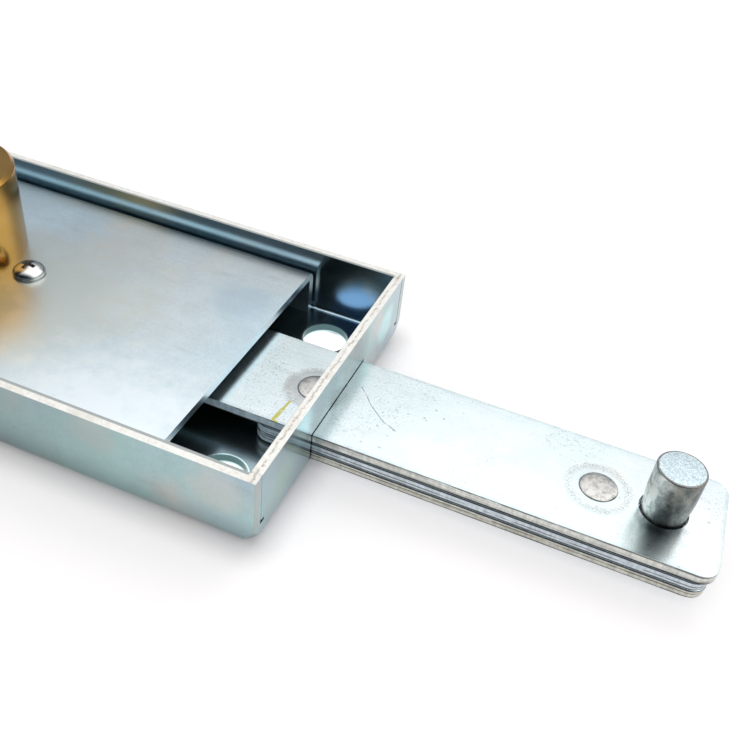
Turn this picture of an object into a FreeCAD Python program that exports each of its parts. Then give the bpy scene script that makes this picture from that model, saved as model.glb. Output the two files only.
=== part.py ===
"""Roller shutter lock: a folded case with a rim-fixed cylinder and two laminated bolts on a rack and pinion.

X runs along the case, Y across it and Z up. The origin is on the cylinder's axis at the case's underside.
The bolts are modelled thrown, as far out of the case as they go. Lengths are in millimetres.
"""
import FreeCAD
import Part
import Sketcher
import math
import os
from types import SimpleNamespace

# Driving dimensions

SIZES = {
    # folded case
    "case_half": 82.5,
    "case_width": 62.0,
    "case_height": 15.0,
    "case_sheet": 1.8,
    "case_bend": 2.6,
    "corner_gap": 0.3,
    "relief_low": 4.4,
    "relief_high": 5.0,
    "relief_width": 1.2,
    "snip_rise": 4.3,
    "snip_run": 3.6,
    "mount_inset": 11.7,
    "mount_side": 20.8,
    "mount_radius": 4.5,
    # cover
    "cover_inset": 18.4,
    "cover_top": 11.3,
    "cover_sheet": 1.5,
    "cover_bend": 2.0,
    "cover_gap": 0.05,
    "cover_hole_play": 0.1,
    # laminated bolts
    "bolt_width": 22.0,
    "bolt_reach": 66.8,
    "plate_sheet": 1.8,
    "plate_gap": 0.1,
    "run_clear": 0.3,
    "lower_start": 11.3,
    "lower_setback": 0.6,
    "bolt_corner": 3.0,
    "pin_radius": 4.0,
    "pin_setback": 9.7,
    "pin_height": 9.6,
    "pin_chamfer": 0.4,
    "pin_shank": 3.2,
    "pin_neck": 3.7,
    "pin_neck_rise": 0.6,
    "pin_flare": 0.5,
    "pin_play": 0.3,
    "rivet_radius": 3.2,
    "rivet_dome": 0.45,
    "rivet_outer": 20.4,
    "rivet_inner": 4.4,
    # rack and pinion
    "gear_module": 0.8,
    "gear_teeth": 16.0,
    "tooth_play": 0.24,
    "root_clear": 0.2,
    "tooth_pressure": 20.0,
    "arm_tip": 8.0,
    "arm_clear": 1.8,
    # bolt guides
    "guide_start": 12.5,
    "guide_sheet": 1.5,
    "guide_foot": 4.5,
    "guide_clear": 2.1,
    "guide_rivet": 1.25,
    "guide_head": 0.7,
    # cylinder
    "barrel_radius": 14.0,
    "barrel_top": 28.3,
    "barrel_edge": 0.6,
    "stub_radius": 9.0,
    "nut_radius": 12.5,
    "nut_height": 1.5,
    "plug_radius": 6.5,
    "plug_play": 0.05,
    "plug_sink": 0.3,
    "plug_seat": 0.05,
    "keyway_width": 2.0,
    "keyway_back": 2.4,
    "chamber_count": 5.0,
    "chamber_pitch": 2.9,
    "chamber_first": 13.6,
    "chamber_radius": 1.3,
    "chamber_play": 0.05,
    "pin_lift": 0.2,
    "cap_sink": 0.4,
    "shear_gap": 0.2,
    "driver_length": 2.6,
    "cap_length": 1.4,
    "spring_wire": 0.3,
    "spring_play": 0.1,
    "clip_height": 0.8,
    "clip_reach": 0.7,
    "clip_rise": 0.15,
    "clip_mouth": 0.6,
    # drive spindle and its bush
    "spindle_radius": 3.0,
    "blade_width": 9.0,
    "blade_height": 2.6,
    "blade_thickness": 2.0,
    "bush_radius": 6.0,
    "bush_spigot": 4.2,
    "spindle_play": 0.05,
    "spindle_foot": 0.1,
    "blade_root": 0.3,
    "blade_play": 0.1,
    # cover screws and their posts
    "screw_gap": 4.2,
    "screw_radius": 1.5,
    "screw_head": 3.0,
    "screw_head_height": 2.1,
    "screw_depth": 6.0,
    "screw_play": 0.2,
    "post_radius": 3.0,
    "post_spigot": 2.0,
}

SHEET_NAME = "sizes"


class Length:
    """A size that keeps both its number and the spreadsheet formula it came from."""

    def __init__(self, number, text):
        self.number = number
        self.text = text

    def _join(self, other, sign, result):
        return Length(result, "(%s %s %s)" % (self.text, sign, text_of(other)))

    def __add__(self, other):
        return self._join(other, "+", self.number + number_of(other))

    def __sub__(self, other):
        return self._join(other, "-", self.number - number_of(other))

    def __mul__(self, other):
        return self._join(other, "*", self.number * number_of(other))

    def __truediv__(self, other):
        return self._join(other, "/", self.number / number_of(other))

    def __rsub__(self, other):
        return Length(number_of(other) - self.number, "(%s - %s)" % (text_of(other), self.text))

    def __neg__(self):
        return Length(-self.number, "(0 - %s)" % self.text)

    __radd__ = __add__
    __rmul__ = __mul__


def number_of(value):
    return value.number if isinstance(value, Length) else float(value)


def text_of(value):
    return value.text if isinstance(value, Length) else repr(float(value))


doc = FreeCAD.newDocument("roller_shutter_lock")
sheet = doc.addObject("Spreadsheet::Sheet", SHEET_NAME)
for line, (word, size) in enumerate(SIZES.items(), start=1):
    sheet.set("A%d" % line, word)
    sheet.set("B%d" % line, repr(size))
    sheet.setAlias("B%d" % line, word)
doc.recompute()
s = SimpleNamespace(**{word: Length(float(sheet.get(word)), "%s.%s" % (SHEET_NAME, word)) for word in SIZES})

# Levels and places worked out from the driving dimensions

half_width = s.case_width / 2
inner_half_width = half_width - s.case_sheet
stack_low = s.case_sheet + s.run_clear
plate_pitch = s.plate_sheet + s.plate_gap
top_plate_low = stack_low + plate_pitch * 2
bolt_top = top_plate_low + s.plate_sheet
bolt_half = s.bolt_width / 2
bolt_end = s.case_half + s.bolt_reach
cover_low = s.cover_top - s.cover_sheet
cover_half = s.case_half - s.cover_inset
cover_side = half_width - s.case_bend - s.cover_gap
pitch_radius = s.gear_module * s.gear_teeth / 2
tooth_pitch = s.gear_module * math.pi
travel = pitch_radius * math.pi
lower_start = s.case_half - s.lower_start
shoulder = s.arm_tip + travel * 2 + s.arm_clear
guide_end = lower_start - travel - s.guide_clear
stub_low = cover_low - s.nut_height
plug_top = s.barrel_top - s.plug_sink
plug_low = stub_low + s.plug_seat
screw_offset = s.barrel_radius + s.screw_gap
bush_top = top_plate_low - s.plate_sheet

nodes = []


def keep(label, thing):
    """Names a finished piece and lists it for export."""
    thing.Label = label
    nodes.append(thing)
    return thing


def bind(thing, **formulas):
    """Ties properties to sizes; two underscores stand for the dot of a nested property."""
    for name, value in formulas.items():
        thing.setExpression(name.replace("__", "."), text_of(value))


def place(thing, x=0, y=0, z=0):
    bind(thing, Placement__Base__x=x, Placement__Base__y=y, Placement__Base__z=z)


# Primitive solids and booleans

def block(name, x, y, z):
    """A box between a low and a high value on each axis."""
    thing = doc.addObject("Part::Box", name)
    bind(thing, Length=x[1] - x[0], Width=y[1] - y[0], Height=z[1] - z[0])
    place(thing, x[0], y[0], z[0])
    return thing


AXIS_TURN = {
    "Z": FreeCAD.Rotation(),
    "Y": FreeCAD.Rotation(FreeCAD.Vector(1, 0, 0), -90),
}
PAST = 1.0


def rod(name, radius, length, x=0, y=0, z=0, axis="Z"):
    """A cylinder that starts at a point and runs along an axis."""
    thing = doc.addObject("Part::Cylinder", name)
    thing.Placement = FreeCAD.Placement(FreeCAD.Vector(), AXIS_TURN[axis])
    bind(thing, Radius=radius, Height=length)
    place(thing, x, y, z)
    return thing


def join(name, parts):
    thing = doc.addObject("Part::MultiFuse", name)
    thing.Shapes = parts
    return thing


def cut(name, base, tools):
    thing = doc.addObject("Part::Cut", name)
    thing.Base = base
    thing.Tool = tools[0] if len(tools) == 1 else join(name + "_tools", tools)
    return thing


def group(name, parts):
    """Separate solids that share one node."""
    thing = doc.addObject("Part::Compound", name)
    thing.Links = parts
    return thing


# Sketched bodies

def new_body(name):
    return doc.addObject("PartDesign::Body", name)


def attach(body, sketch, role, level):
    plane = [item for item in body.Origin.OriginFeatures if item.Role == role][0]
    sketch.AttachmentSupport = (plane, [""])
    sketch.MapMode = "FlatFace"
    if level is not None:
        bind(sketch, AttachmentOffset__Base__z=level)


def pin_point(sketch, edge, corner, along, value):
    """Holds one end of an edge at a distance from the sketch's origin along one of its axes."""
    if number_of(value) == 0 and not isinstance(value, Length):
        axis = -2 if along == "DistanceX" else -1
        sketch.addConstraint(Sketcher.Constraint("PointOnObject", edge, corner, axis))
        return
    index = sketch.addConstraint(Sketcher.Constraint(along, -1, 1, edge, corner, number_of(value)))
    sketch.setExpression("Constraints[%d]" % index, text_of(value))


def outline(body, name, role, points, level=None):
    """A closed sketch of straight edges whose corners are tied to sizes."""
    sketch = body.newObject("Sketcher::SketchObject", name)
    attach(body, sketch, role, level)
    spots = [FreeCAD.Vector(number_of(u), number_of(v), 0) for u, v in points]
    count = len(spots)
    for index in range(count):
        sketch.addGeometry(Part.LineSegment(spots[index], spots[(index + 1) % count]))
    for index in range(count):
        sketch.addConstraint(Sketcher.Constraint("Coincident", index, 2, (index + 1) % count, 1))
    for index, (u, v) in enumerate(points):
        pin_point(sketch, index, 1, "DistanceX", u)
        pin_point(sketch, index, 1, "DistanceY", v)
    return sketch


def rectangle(u, v):
    """Corner points of a rectangle between a low and a high value each way."""
    return [(u[0], v[0]), (u[1], v[0]), (u[1], v[1]), (u[0], v[1])]


def circles(body, name, role, rounds, level=None):
    """A sketch of circles, each given as radius, u and v."""
    sketch = body.newObject("Sketcher::SketchObject", name)
    attach(body, sketch, role, level)
    for index, (radius, u, v) in enumerate(rounds):
        centre = FreeCAD.Vector(number_of(u), number_of(v), 0)
        sketch.addGeometry(Part.Circle(centre, FreeCAD.Vector(0, 0, 1), number_of(radius)))
        pin_point(sketch, index, 3, "DistanceX", u)
        pin_point(sketch, index, 3, "DistanceY", v)
        size = sketch.addConstraint(Sketcher.Constraint("Radius", index, number_of(radius)))
        sketch.setExpression("Constraints[%d]" % size, text_of(radius))
    return sketch


def pad(body, name, sketch, length, both_ways=False):
    feature = body.newObject("PartDesign::Pad", name)
    feature.Profile = sketch
    feature.Midplane = both_ways
    bind(feature, Length=length)
    doc.recompute()
    return feature


def pocket(body, name, sketch, length=None, reverse=False):
    """Cuts a sketch into the body, right through where no length is given; it has to remove material."""
    before = body.Shape.Volume
    feature = body.newObject("PartDesign::Pocket", name)
    feature.Profile = sketch
    if length is None:
        feature.Type = "ThroughAll"
        feature.Midplane = True
    else:
        feature.Reversed = reverse
        bind(feature, Length=length)
    doc.recompute()
    if body.Shape.Volume >= before - 1e-6:
        raise RuntimeError("%s cuts nothing" % name)
    return feature


def round_edges(body, name, kind, size, chosen):
    """Fillets or chamfers the edges of the body's last feature that a test picks."""
    base = body.Tip
    picked = ["Edge%d" % (i + 1) for i, edge in enumerate(base.Shape.Edges) if chosen(edge)]
    if not picked:
        raise RuntimeError("%s finds no edge" % name)
    feature = body.newObject("PartDesign::" + kind, name)
    feature.Base = (base, picked)
    bind(feature, **{"Radius" if kind == "Fillet" else "Size": size})
    doc.recompute()
    return feature


def turned(name, profile, x=0, y=0, z=0):
    """A piece turned about its own upright axis from a profile of (radius, height) points."""
    body = new_body(name)
    sketch = outline(body, name + "_profile", "XZ_Plane", profile)
    feature = body.newObject("PartDesign::Revolution", name + "_turn")
    feature.Profile = sketch
    feature.ReferenceAxis = (sketch, ["V_Axis"])
    feature.Angle = 360
    place(body, x, y, z)
    doc.recompute()
    return body


def near(value, size, slack=0.02):
    return abs(value - number_of(size)) < slack


def upright(edge):
    low, high = edge.BoundBox.ZMin, edge.BoundBox.ZMax
    return high - low > 0.5 and edge.BoundBox.XLength < 0.01 and edge.BoundBox.YLength < 0.01


# Folded case

def case_tray():
    """One folded sheet: a floor with four walls, open corner seams, relief holes, bolt slots and fixing holes."""
    body = new_body("case_fold")
    block_outline = outline(body, "case_outline", "XY_Plane",
                            rectangle((-s.case_half, s.case_half), (-half_width, half_width)))
    pad(body, "case_block", block_outline, s.case_height)
    round_edges(body, "case_outer_bends", "Fillet", s.case_bend, lambda e: near(e.BoundBox.ZMax, 0))
    inner_half = s.case_half - s.case_sheet
    inside = outline(body, "case_inside", "XY_Plane",
                     rectangle((-inner_half, inner_half), (-inner_half_width, inner_half_width)), s.case_sheet)
    pocket(body, "case_hollow", inside, s.case_height, reverse=True)
    bend_inside = s.case_bend - s.case_sheet
    round_edges(body, "case_inner_bends", "Fillet", bend_inside,
                lambda e: near(e.BoundBox.ZMax, s.case_sheet) and near(e.BoundBox.ZMin, s.case_sheet)
                and abs(e.BoundBox.XMin) < inner_half.number + 0.01)
    tools = []
    for end, x in (("right", (inner_half, s.case_half + PAST)), ("left", (-s.case_half - PAST, -inner_half))):
        along = 1 if end == "right" else -1
        for side, way in (("front", -1), ("rear", 1)):
            name = "%s_%s_" % (end, side)
            seam = sorted_pair(inner_half_width * way, (inner_half_width - s.corner_gap) * way)
            relief = sorted_pair(inner_half_width * way, (inner_half_width - s.relief_width) * way)
            tools.append(block(name + "seam", x, seam, (s.relief_low, s.case_height + PAST)))
            tools.append(block(name + "relief", x, relief, (s.relief_low, s.relief_high)))
            tools.append(corner_snip(name + "snip", along, way))
            tools.append(rod(name + "hole", s.mount_radius, s.case_sheet * 3,
                             (s.case_half - s.mount_inset) * along, s.mount_side * way, -s.case_sheet))
        slot_x = (x[0] - bend_inside, x[1]) if end == "right" else (x[0], x[1] + bend_inside)
        tools.append(block(end + "_slot", slot_x, (-bolt_half - s.run_clear, bolt_half + s.run_clear),
                           (s.case_sheet, bolt_top + s.run_clear)))
        tools.append(rod(end + "_post_hole", s.post_spigot, s.case_sheet * 3, screw_offset * along, 0,
                         -s.case_sheet))
        for spot_x, spot_y in guide_rivet_spots(along):
            tools.append(rod(end + "_rivet_hole", s.guide_rivet, s.case_sheet * 3, spot_x, spot_y, -s.case_sheet))
    tools.append(rod("bush_hole", s.bush_spigot, s.case_sheet * 3, 0, 0, -s.case_sheet))
    return keep("case_tray", cut("case_cut", body, tools))


def sorted_pair(first, second):
    return (first, second) if first.number < second.number else (second, first)


def corner_snip(name, along, across):
    """A block whose base slants across one lower corner, to the height and run at which the sheet is snipped."""
    slope = 1 / s.snip_run.number
    facing = FreeCAD.Vector(along * slope, across * slope, -1 / s.snip_rise.number)
    turn = FreeCAD.Rotation(FreeCAD.Vector(0, 0, 1), facing)
    side = s.snip_run * 4
    thing = doc.addObject("Part::Box", name)
    bind(thing, Length=side, Width=side, Height=side)
    thing.Placement = FreeCAD.Placement(FreeCAD.Vector(), turn)
    centre = turn.multVec(FreeCAD.Vector(0.5, 0.5, 0))
    place(thing, s.case_half * along - side * centre.x, half_width * across - side * centre.y,
          s.snip_rise - side * centre.z)
    return thing


def cover_plate():
    """The cover: a sheet folded down along both long edges, which stand on the case's floor."""
    body = new_body("cover_fold")
    low = s.case_sheet
    inner_side = cover_side - s.cover_sheet
    profile = [(-cover_side, low), (-inner_side, low), (-inner_side, cover_low), (inner_side, cover_low),
               (inner_side, low), (cover_side, low), (cover_side, s.cover_top), (-cover_side, s.cover_top)]
    pad(body, "cover_channel", outline(body, "cover_profile", "YZ_Plane", profile), cover_half * 2, True)
    round_edges(body, "cover_outer_bends", "Fillet", s.cover_bend,
                lambda e: near(e.BoundBox.ZMin, s.cover_top) and e.BoundBox.YLength < 0.01)
    round_edges(body, "cover_inner_bends", "Fillet", s.cover_bend - s.cover_sheet,
                lambda e: near(e.BoundBox.ZMin, cover_low) and near(e.BoundBox.ZMax, cover_low)
                and e.BoundBox.YLength < 0.01)
    screw_hole = s.screw_radius + s.screw_play
    holes = circles(body, "cover_holes", "XY_Plane",
                    [(s.stub_radius + s.cover_hole_play, 0, 0), (screw_hole, screw_offset, 0), (screw_hole, -screw_offset, 0)])
    pocket(body, "cover_hole_cut", holes)
    return keep("cover_plate", body)


def cover_screws():
    """Two pan head screws that clamp the cover to its posts."""
    head = s.screw_head
    arm = head * 0.62
    slot = head * 0.13
    rim = s.screw_head_height * 0.45
    profile = [(0, -s.screw_depth), (s.screw_radius, -s.screw_depth), (s.screw_radius, 0), (head, 0), (head, rim),
               (head * 0.6, s.screw_head_height), (0, s.screw_head_height)]
    screws = []
    for side, way in (("right", 1), ("left", -1)):
        blank = turned(side + "_screw_blank", profile, screw_offset * way, 0, s.cover_top)
        recess = (s.cover_top + rim, s.cover_top + s.screw_head_height + PAST)
        x = screw_offset * way
        cross = [block(side + "_cross_long", (x - arm, x + arm), (-slot, slot), recess),
                 block(side + "_cross_wide", (x - slot, x + slot), (-arm, arm), recess)]
        screws.append(cut(side + "_screw", blank, cross))
    return keep("cover_screws", group("cover_screw_pair", screws))


def cover_posts():
    """Two threaded posts, riveted into the floor, that carry the cover beside the cylinder."""
    profile = [(s.screw_radius, 0), (s.post_spigot, 0), (s.post_spigot, s.case_sheet),
               (s.post_radius, s.case_sheet), (s.post_radius, cover_low), (s.screw_radius, cover_low)]
    posts = [turned(side + "_post", profile, screw_offset * way, 0, 0) for side, way in (("right", 1), ("left", -1))]
    return keep("cover_posts", group("cover_post_pair", posts))


# Bolt guides

def guide_rivet_spots(way):
    """Centres of the two rivets in one guide's feet, in opposite corners."""
    foot_y = bolt_half + s.run_clear + s.guide_sheet + s.guide_foot / 2
    return [((s.guide_start + s.guide_foot) * way, -foot_y * way), ((guide_end - s.guide_foot) * way, foot_y * way)]


def bolt_guide(side, way):
    """A pressed channel that the bolt's top plate slides on, with a rail and a foot along each side."""
    body = new_body(side + "_guide_fold")
    rail = bolt_half + s.run_clear
    rail_out = rail + s.guide_sheet
    foot_out = rail_out + s.guide_foot
    foot_top = s.case_sheet + s.guide_sheet
    web_top = top_plate_low - s.plate_gap
    web_low = web_top - s.guide_sheet
    rail_top = bolt_top + s.run_clear
    right = [(rail, web_low), (rail, s.case_sheet), (foot_out, s.case_sheet), (foot_out, foot_top),
             (rail_out, foot_top), (rail_out, rail_top), (rail, rail_top), (rail, web_top)]
    left = [(-y, z) for y, z in reversed(right)]
    profile = right + left
    start, end = sorted_pair(s.guide_start * way, guide_end * way)
    pad(body, side + "_guide_channel", outline(body, side + "_guide_profile", "YZ_Plane", profile, start), end - start)
    holes = [(s.post_radius + s.run_clear, screw_offset * way, 0)]
    holes += [(s.guide_rivet, x, y) for x, y in guide_rivet_spots(way)]
    pocket(body, side + "_guide_hole_cut", circles(body, side + "_guide_holes", "XY_Plane", holes))
    return keep(side + "_bolt_guide", body)


def guide_rivets():
    """The rivets that hold both guides to the floor."""
    foot_top = s.case_sheet + s.guide_sheet
    head = s.guide_rivet * 1.8
    profile = [(0, 0), (s.guide_rivet, 0), (s.guide_rivet, foot_top), (head, foot_top),
               (head, foot_top + s.guide_head), (0, foot_top + s.guide_head)]
    rivets = []
    for way in (1, -1):
        for x, y in guide_rivet_spots(way):
            rivets.append(turned("guide_rivet_%d" % (len(rivets) + 1), profile, x, y, 0))
    return keep("guide_rivets", group("guide_rivet_set", rivets))


# Laminated bolts: the right one is modelled where it is, the left one is the same turned half round

HALF_TURN = {"right": 0, "left": 180}


def turn_about_cylinder(body, side):
    body.Placement = FreeCAD.Placement(FreeCAD.Vector(), FreeCAD.Rotation(FreeCAD.Vector(0, 0, 1), HALF_TURN[side]))


def rack_teeth(body, side, level):
    """Cuts the tooth gaps into the inner edge of the rack arm, one gap lying at the pinion's centre line."""
    tip = pitch_radius - s.gear_module
    root = pitch_radius + s.gear_module + s.root_clear
    slope = math.tan(math.radians(s.tooth_pressure.number))
    half_gap = tooth_pitch / 4 + s.tooth_play / 4
    mouth = half_gap + s.gear_module * slope
    bottom = half_gap - (s.gear_module + s.root_clear) * slope
    first = tooth_pitch * -3
    gap = outline(body, side + "_rack_gap", "XY_Plane",
                  [(first - mouth - slope, tip - PAST), (first + mouth + slope, tip - PAST),
                   (first + bottom, root), (first - bottom, root)], level)
    cutter = pocket(body, side + "_rack_gap_cut", gap, s.plate_sheet + PAST, reverse=True)
    count = 4 + math.ceil(travel.number / tooth_pitch.number) + 2
    pattern = body.newObject("PartDesign::LinearPattern", side + "_rack_gaps")
    pattern.Originals = [cutter]
    pattern.Direction = (gap, ["H_Axis"])
    bind(pattern, Length=tooth_pitch * (count - 1))
    pattern.Occurrences = count
    body.Tip = pattern
    doc.recompute()


def bolt_top_plate(side):
    """The top plate: full width outside, and inside a rack arm on one side of the pinion."""
    body = new_body(side + "_top")
    turn_about_cylinder(body, side)
    arm_inner = pitch_radius - s.gear_module
    points = [(-s.arm_tip, arm_inner), (shoulder, arm_inner), (shoulder, -bolt_half), (bolt_end, -bolt_half),
              (bolt_end, bolt_half), (-s.arm_tip, bolt_half)]
    pad(body, side + "_top_sheet", outline(body, side + "_top_outline", "XY_Plane", points, top_plate_low),
        s.plate_sheet)
    far = bolt_end.number
    round_edges(body, side + "_top_corners", "Fillet", s.bolt_corner,
                lambda e: upright(e) and near(abs(e.BoundBox.XMin), far))
    inner = arm_inner.number
    round_edges(body, side + "_top_shoulder", "Fillet", s.bolt_corner,
                lambda e: upright(e) and near(abs(e.BoundBox.XMin), shoulder) and near(abs(e.BoundBox.YMin), inner))
    holes = [(s.pin_neck + s.pin_play, bolt_end - s.pin_setback, 0),
             (s.rivet_radius, bolt_end - s.rivet_outer, 0), (s.rivet_radius, s.case_half - s.rivet_inner, 0)]
    pocket(body, side + "_top_hole_cut", circles(body, side + "_top_holes", "XY_Plane", holes))
    rack_teeth(body, side, top_plate_low - PAST / 2)
    return keep(side + "_bolt_top_plate", body)


def bolt_lower_plate(side, name, level):
    """A plain plate under the top one, which stops just inside the case."""
    body = new_body(side + "_" + name)
    turn_about_cylinder(body, side)
    x = (lower_start, bolt_end - s.lower_setback)
    pad(body, side + "_%s_sheet" % name,
        outline(body, side + "_%s_outline" % name, "XY_Plane", rectangle(x, (-bolt_half, bolt_half)), level),
        s.plate_sheet)
    round_edges(body, side + "_%s_corners" % name, "Fillet", s.bolt_corner, upright)
    holes = [(s.pin_shank, bolt_end - s.pin_setback, 0), (s.rivet_radius, bolt_end - s.rivet_outer, 0),
             (s.rivet_radius, s.case_half - s.rivet_inner, 0)]
    pocket(body, side + "_%s_hole_cut" % name, circles(body, side + "_%s_holes" % name, "XY_Plane", holes))
    return keep(side + "_bolt_%s_plate" % name, body)


def bolt_rivets(side, way):
    """Two flush rivets with low domes that hold the three plates together."""
    dome = s.rivet_dome
    profile = [(0, stack_low), (s.rivet_radius, stack_low), (s.rivet_radius, bolt_top + dome * 0.35),
               (s.rivet_radius * 0.7, bolt_top + dome), (0, bolt_top + dome)]
    rivets = []
    for name, x in (("outer", bolt_end - s.rivet_outer), ("inner", s.case_half - s.rivet_inner)):
        rivets.append(turned("%s_%s_rivet" % (side, name), profile, x * way, 0, 0))
    return keep(side + "_bolt_rivets", group(side + "_rivet_pair", rivets))


def bolt_pin(side, way):
    """The connecting pin that a shutter's bar fits over, shouldered and riveted into the two lower plates."""
    high = bolt_top + s.pin_height
    neck = bolt_top + s.pin_neck_rise
    profile = [(0, stack_low), (s.pin_shank, stack_low), (s.pin_shank, stack_low + plate_pitch + s.plate_sheet),
               (s.pin_neck, stack_low + plate_pitch + s.plate_sheet), (s.pin_neck, neck),
               (s.pin_radius, neck + s.pin_flare), (s.pin_radius, high - s.pin_chamfer),
               (s.pin_radius - s.pin_chamfer, high), (0, high)]
    return keep(side + "_bolt_pin", turned(side + "_pin", profile, (bolt_end - s.pin_setback) * way, 0, 0))


# Rack and pinion drive

def involute_point(base_radius, radius, turn):
    """A point on an involute flank at a radius, turned about the centre."""
    roll = math.sqrt(max((radius / base_radius) ** 2 - 1, 0))
    angle = turn - (roll - math.atan(roll))
    return FreeCAD.Vector(radius * math.cos(angle), radius * math.sin(angle), 0)


def pinion_wire():
    """The closed outline of the pinion: involute flanks, tip arcs and root arcs, a tooth on the +X axis."""
    pitch = pitch_radius.number
    module = s.gear_module.number
    teeth = int(s.gear_teeth.number)
    base = pitch * math.cos(math.radians(s.tooth_pressure.number))
    tip = pitch + module
    root = pitch - module - s.root_clear.number
    roll = math.sqrt((pitch / base) ** 2 - 1)
    half_tooth = math.pi / (2 * teeth) - s.tooth_play.number / 4 / pitch + (roll - math.atan(roll))
    start = max(base, root)
    radii = [start + (tip - start) * step / 3 for step in range(4)]
    edges = []
    last = None
    for tooth in range(teeth):
        centre = 2 * math.pi * tooth / teeth
        rising = [mirror_in(involute_point(base, r, half_tooth), centre) for r in radii]
        falling = [turned_by(involute_point(base, r, half_tooth), centre) for r in reversed(radii)]
        foot_in = at_radius(rising[0], root)
        foot_out = at_radius(falling[-1], root)
        if last is not None:
            edges.append(arc_between(last, foot_in, root))
        first_foot = foot_in if last is None else first_foot
        edges.append(Part.LineSegment(foot_in, rising[0]).toShape())
        edges.append(flank(rising))
        edges.append(arc_between(rising[-1], falling[0], tip))
        edges.append(flank(falling))
        edges.append(Part.LineSegment(falling[-1], foot_out).toShape())
        last = foot_out
    edges.append(arc_between(last, first_foot, root))
    return Part.Wire(edges)


def mirror_in(point, centre):
    return turned_by(FreeCAD.Vector(point.x, -point.y, 0), centre)


def turned_by(point, angle):
    return FreeCAD.Vector(point.x * math.cos(angle) - point.y * math.sin(angle),
                          point.x * math.sin(angle) + point.y * math.cos(angle), 0)


def at_radius(point, radius):
    return point * (radius / point.Length)


def flank(points):
    curve = Part.BSplineCurve()
    curve.interpolate(points)
    return curve.toShape()


def arc_between(start, end, radius):
    middle = at_radius((start + end) * 0.5, radius)
    return Part.Arc(start, middle, end).toShape()


def pinion():
    """The pinion: involute teeth in the top plates' level, on a hub that stands on the bush."""
    level = top_plate_low.number
    height = s.plate_sheet.number
    gear = Part.Face(pinion_wire()).extrude(FreeCAD.Vector(0, 0, height))
    gear.translate(FreeCAD.Vector(0, 0, level))
    hub_radius = pitch_radius.number - s.gear_module.number * 2
    hub_low = bush_top.number + s.spindle_play.number
    hub = Part.makeCylinder(hub_radius, level - hub_low + height / 2, FreeCAD.Vector(0, 0, hub_low))
    bore = Part.makeCylinder(s.spindle_radius.number, 4 * height + level, FreeCAD.Vector())
    thing = doc.addObject("Part::Feature", "pinion_gear")
    thing.Shape = gear.fuse(hub).cut(bore).removeSplitter()
    thing.Placement = FreeCAD.Placement()
    return keep("pinion", thing)


def pinion_bush():
    """A flanged brass bush, pressed into the floor, that the spindle's foot turns in."""
    bore = s.spindle_radius + s.spindle_play
    profile = [(bore, 0), (s.bush_spigot, 0), (s.bush_spigot, s.case_sheet), (s.bush_radius, s.case_sheet),
               (s.bush_radius, bush_top), (bore, bush_top)]
    return keep("pinion_bush", turned("bush", profile))


def drive_spindle():
    """The spindle that carries the pinion, with a flat blade standing up into the plug."""
    shaft = rod("spindle_shaft", s.spindle_radius, plug_low - s.spindle_foot * 2, 0, 0, s.spindle_foot)
    blade_half = s.blade_width / 2
    thick_half = s.blade_thickness / 2
    blade = block("spindle_blade", (-thick_half, thick_half), (-blade_half, blade_half),
                  (plug_low - s.blade_root, plug_low + s.blade_height))
    return keep("drive_spindle", join("spindle_join", [shaft, blade]))


# Cylinder

def chamber_levels():
    return [s.chamber_first + s.chamber_pitch * index for index in range(int(s.chamber_count.number))]


def cylinder_barrel():
    """The brass barrel: a thick round body on the cover, with a stub through it and five pin chambers."""
    bore = s.plug_radius + s.plug_play
    recess = s.plug_radius + s.clip_reach + s.run_clear
    edge = s.barrel_edge
    seat = stub_low + s.clip_height + s.clip_rise * 2
    profile = [(recess, stub_low), (s.stub_radius, stub_low), (s.stub_radius, s.cover_top),
               (s.barrel_radius, s.cover_top), (s.barrel_radius, s.barrel_top - edge),
               (s.barrel_radius - edge, s.barrel_top), (bore, s.barrel_top), (bore, seat), (recess, seat)]
    blank = turned("barrel_blank", profile)
    radius = s.chamber_radius + s.chamber_play
    tools = [rod("barrel_chamber_%d" % (i + 1), radius, s.barrel_radius, 0, 0, z, "Y")
             for i, z in enumerate(chamber_levels())]
    return keep("cylinder_barrel", cut("barrel_cut", blank, tools))


def cylinder_nut():
    """The ring nut under the cover that holds the barrel."""
    profile = [(s.stub_radius, 0), (s.nut_radius, 0), (s.nut_radius, s.nut_height), (s.stub_radius, s.nut_height)]
    return keep("cylinder_nut", turned("nut", profile, 0, 0, stub_low))


def clip_groove():
    """Low and high level of the groove that the plug's clip sits in."""
    low = stub_low + s.clip_rise
    return low, low + s.clip_height


def cylinder_plug():
    """The turning plug: keyway open to the front, five pin holes, a clip groove and a slot for the blade."""
    low, high = clip_groove()
    waist = s.plug_radius - s.clip_reach
    profile = [(0, plug_low), (s.plug_radius, plug_low), (s.plug_radius, low), (waist, low), (waist, high),
               (s.plug_radius, high), (s.plug_radius, plug_top), (0, plug_top)]
    blank = turned("plug_blank", profile)
    key_half = s.keyway_width / 2
    blade_half = s.blade_width / 2 + s.blade_play
    thick_half = s.blade_thickness / 2 + s.blade_play / 2
    blade_end = plug_low + s.blade_height
    tools = [block("plug_keyway", (-key_half, key_half), (-s.plug_radius - PAST, s.keyway_back),
                   (blade_end + s.blade_play * 6, plug_top + PAST)),
             block("plug_blade_slot", (-thick_half, thick_half), (-blade_half, blade_half),
                   (plug_low - PAST, blade_end + s.blade_play))]
    radius = s.chamber_radius + s.chamber_play
    for index, z in enumerate(chamber_levels()):
        tools.append(rod("plug_chamber_%d" % (index + 1), radius, s.barrel_radius, 0, s.keyway_back - PAST / 2, z,
                         "Y"))
    return keep("cylinder_plug", cut("plug_cut", blank, tools))


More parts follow.
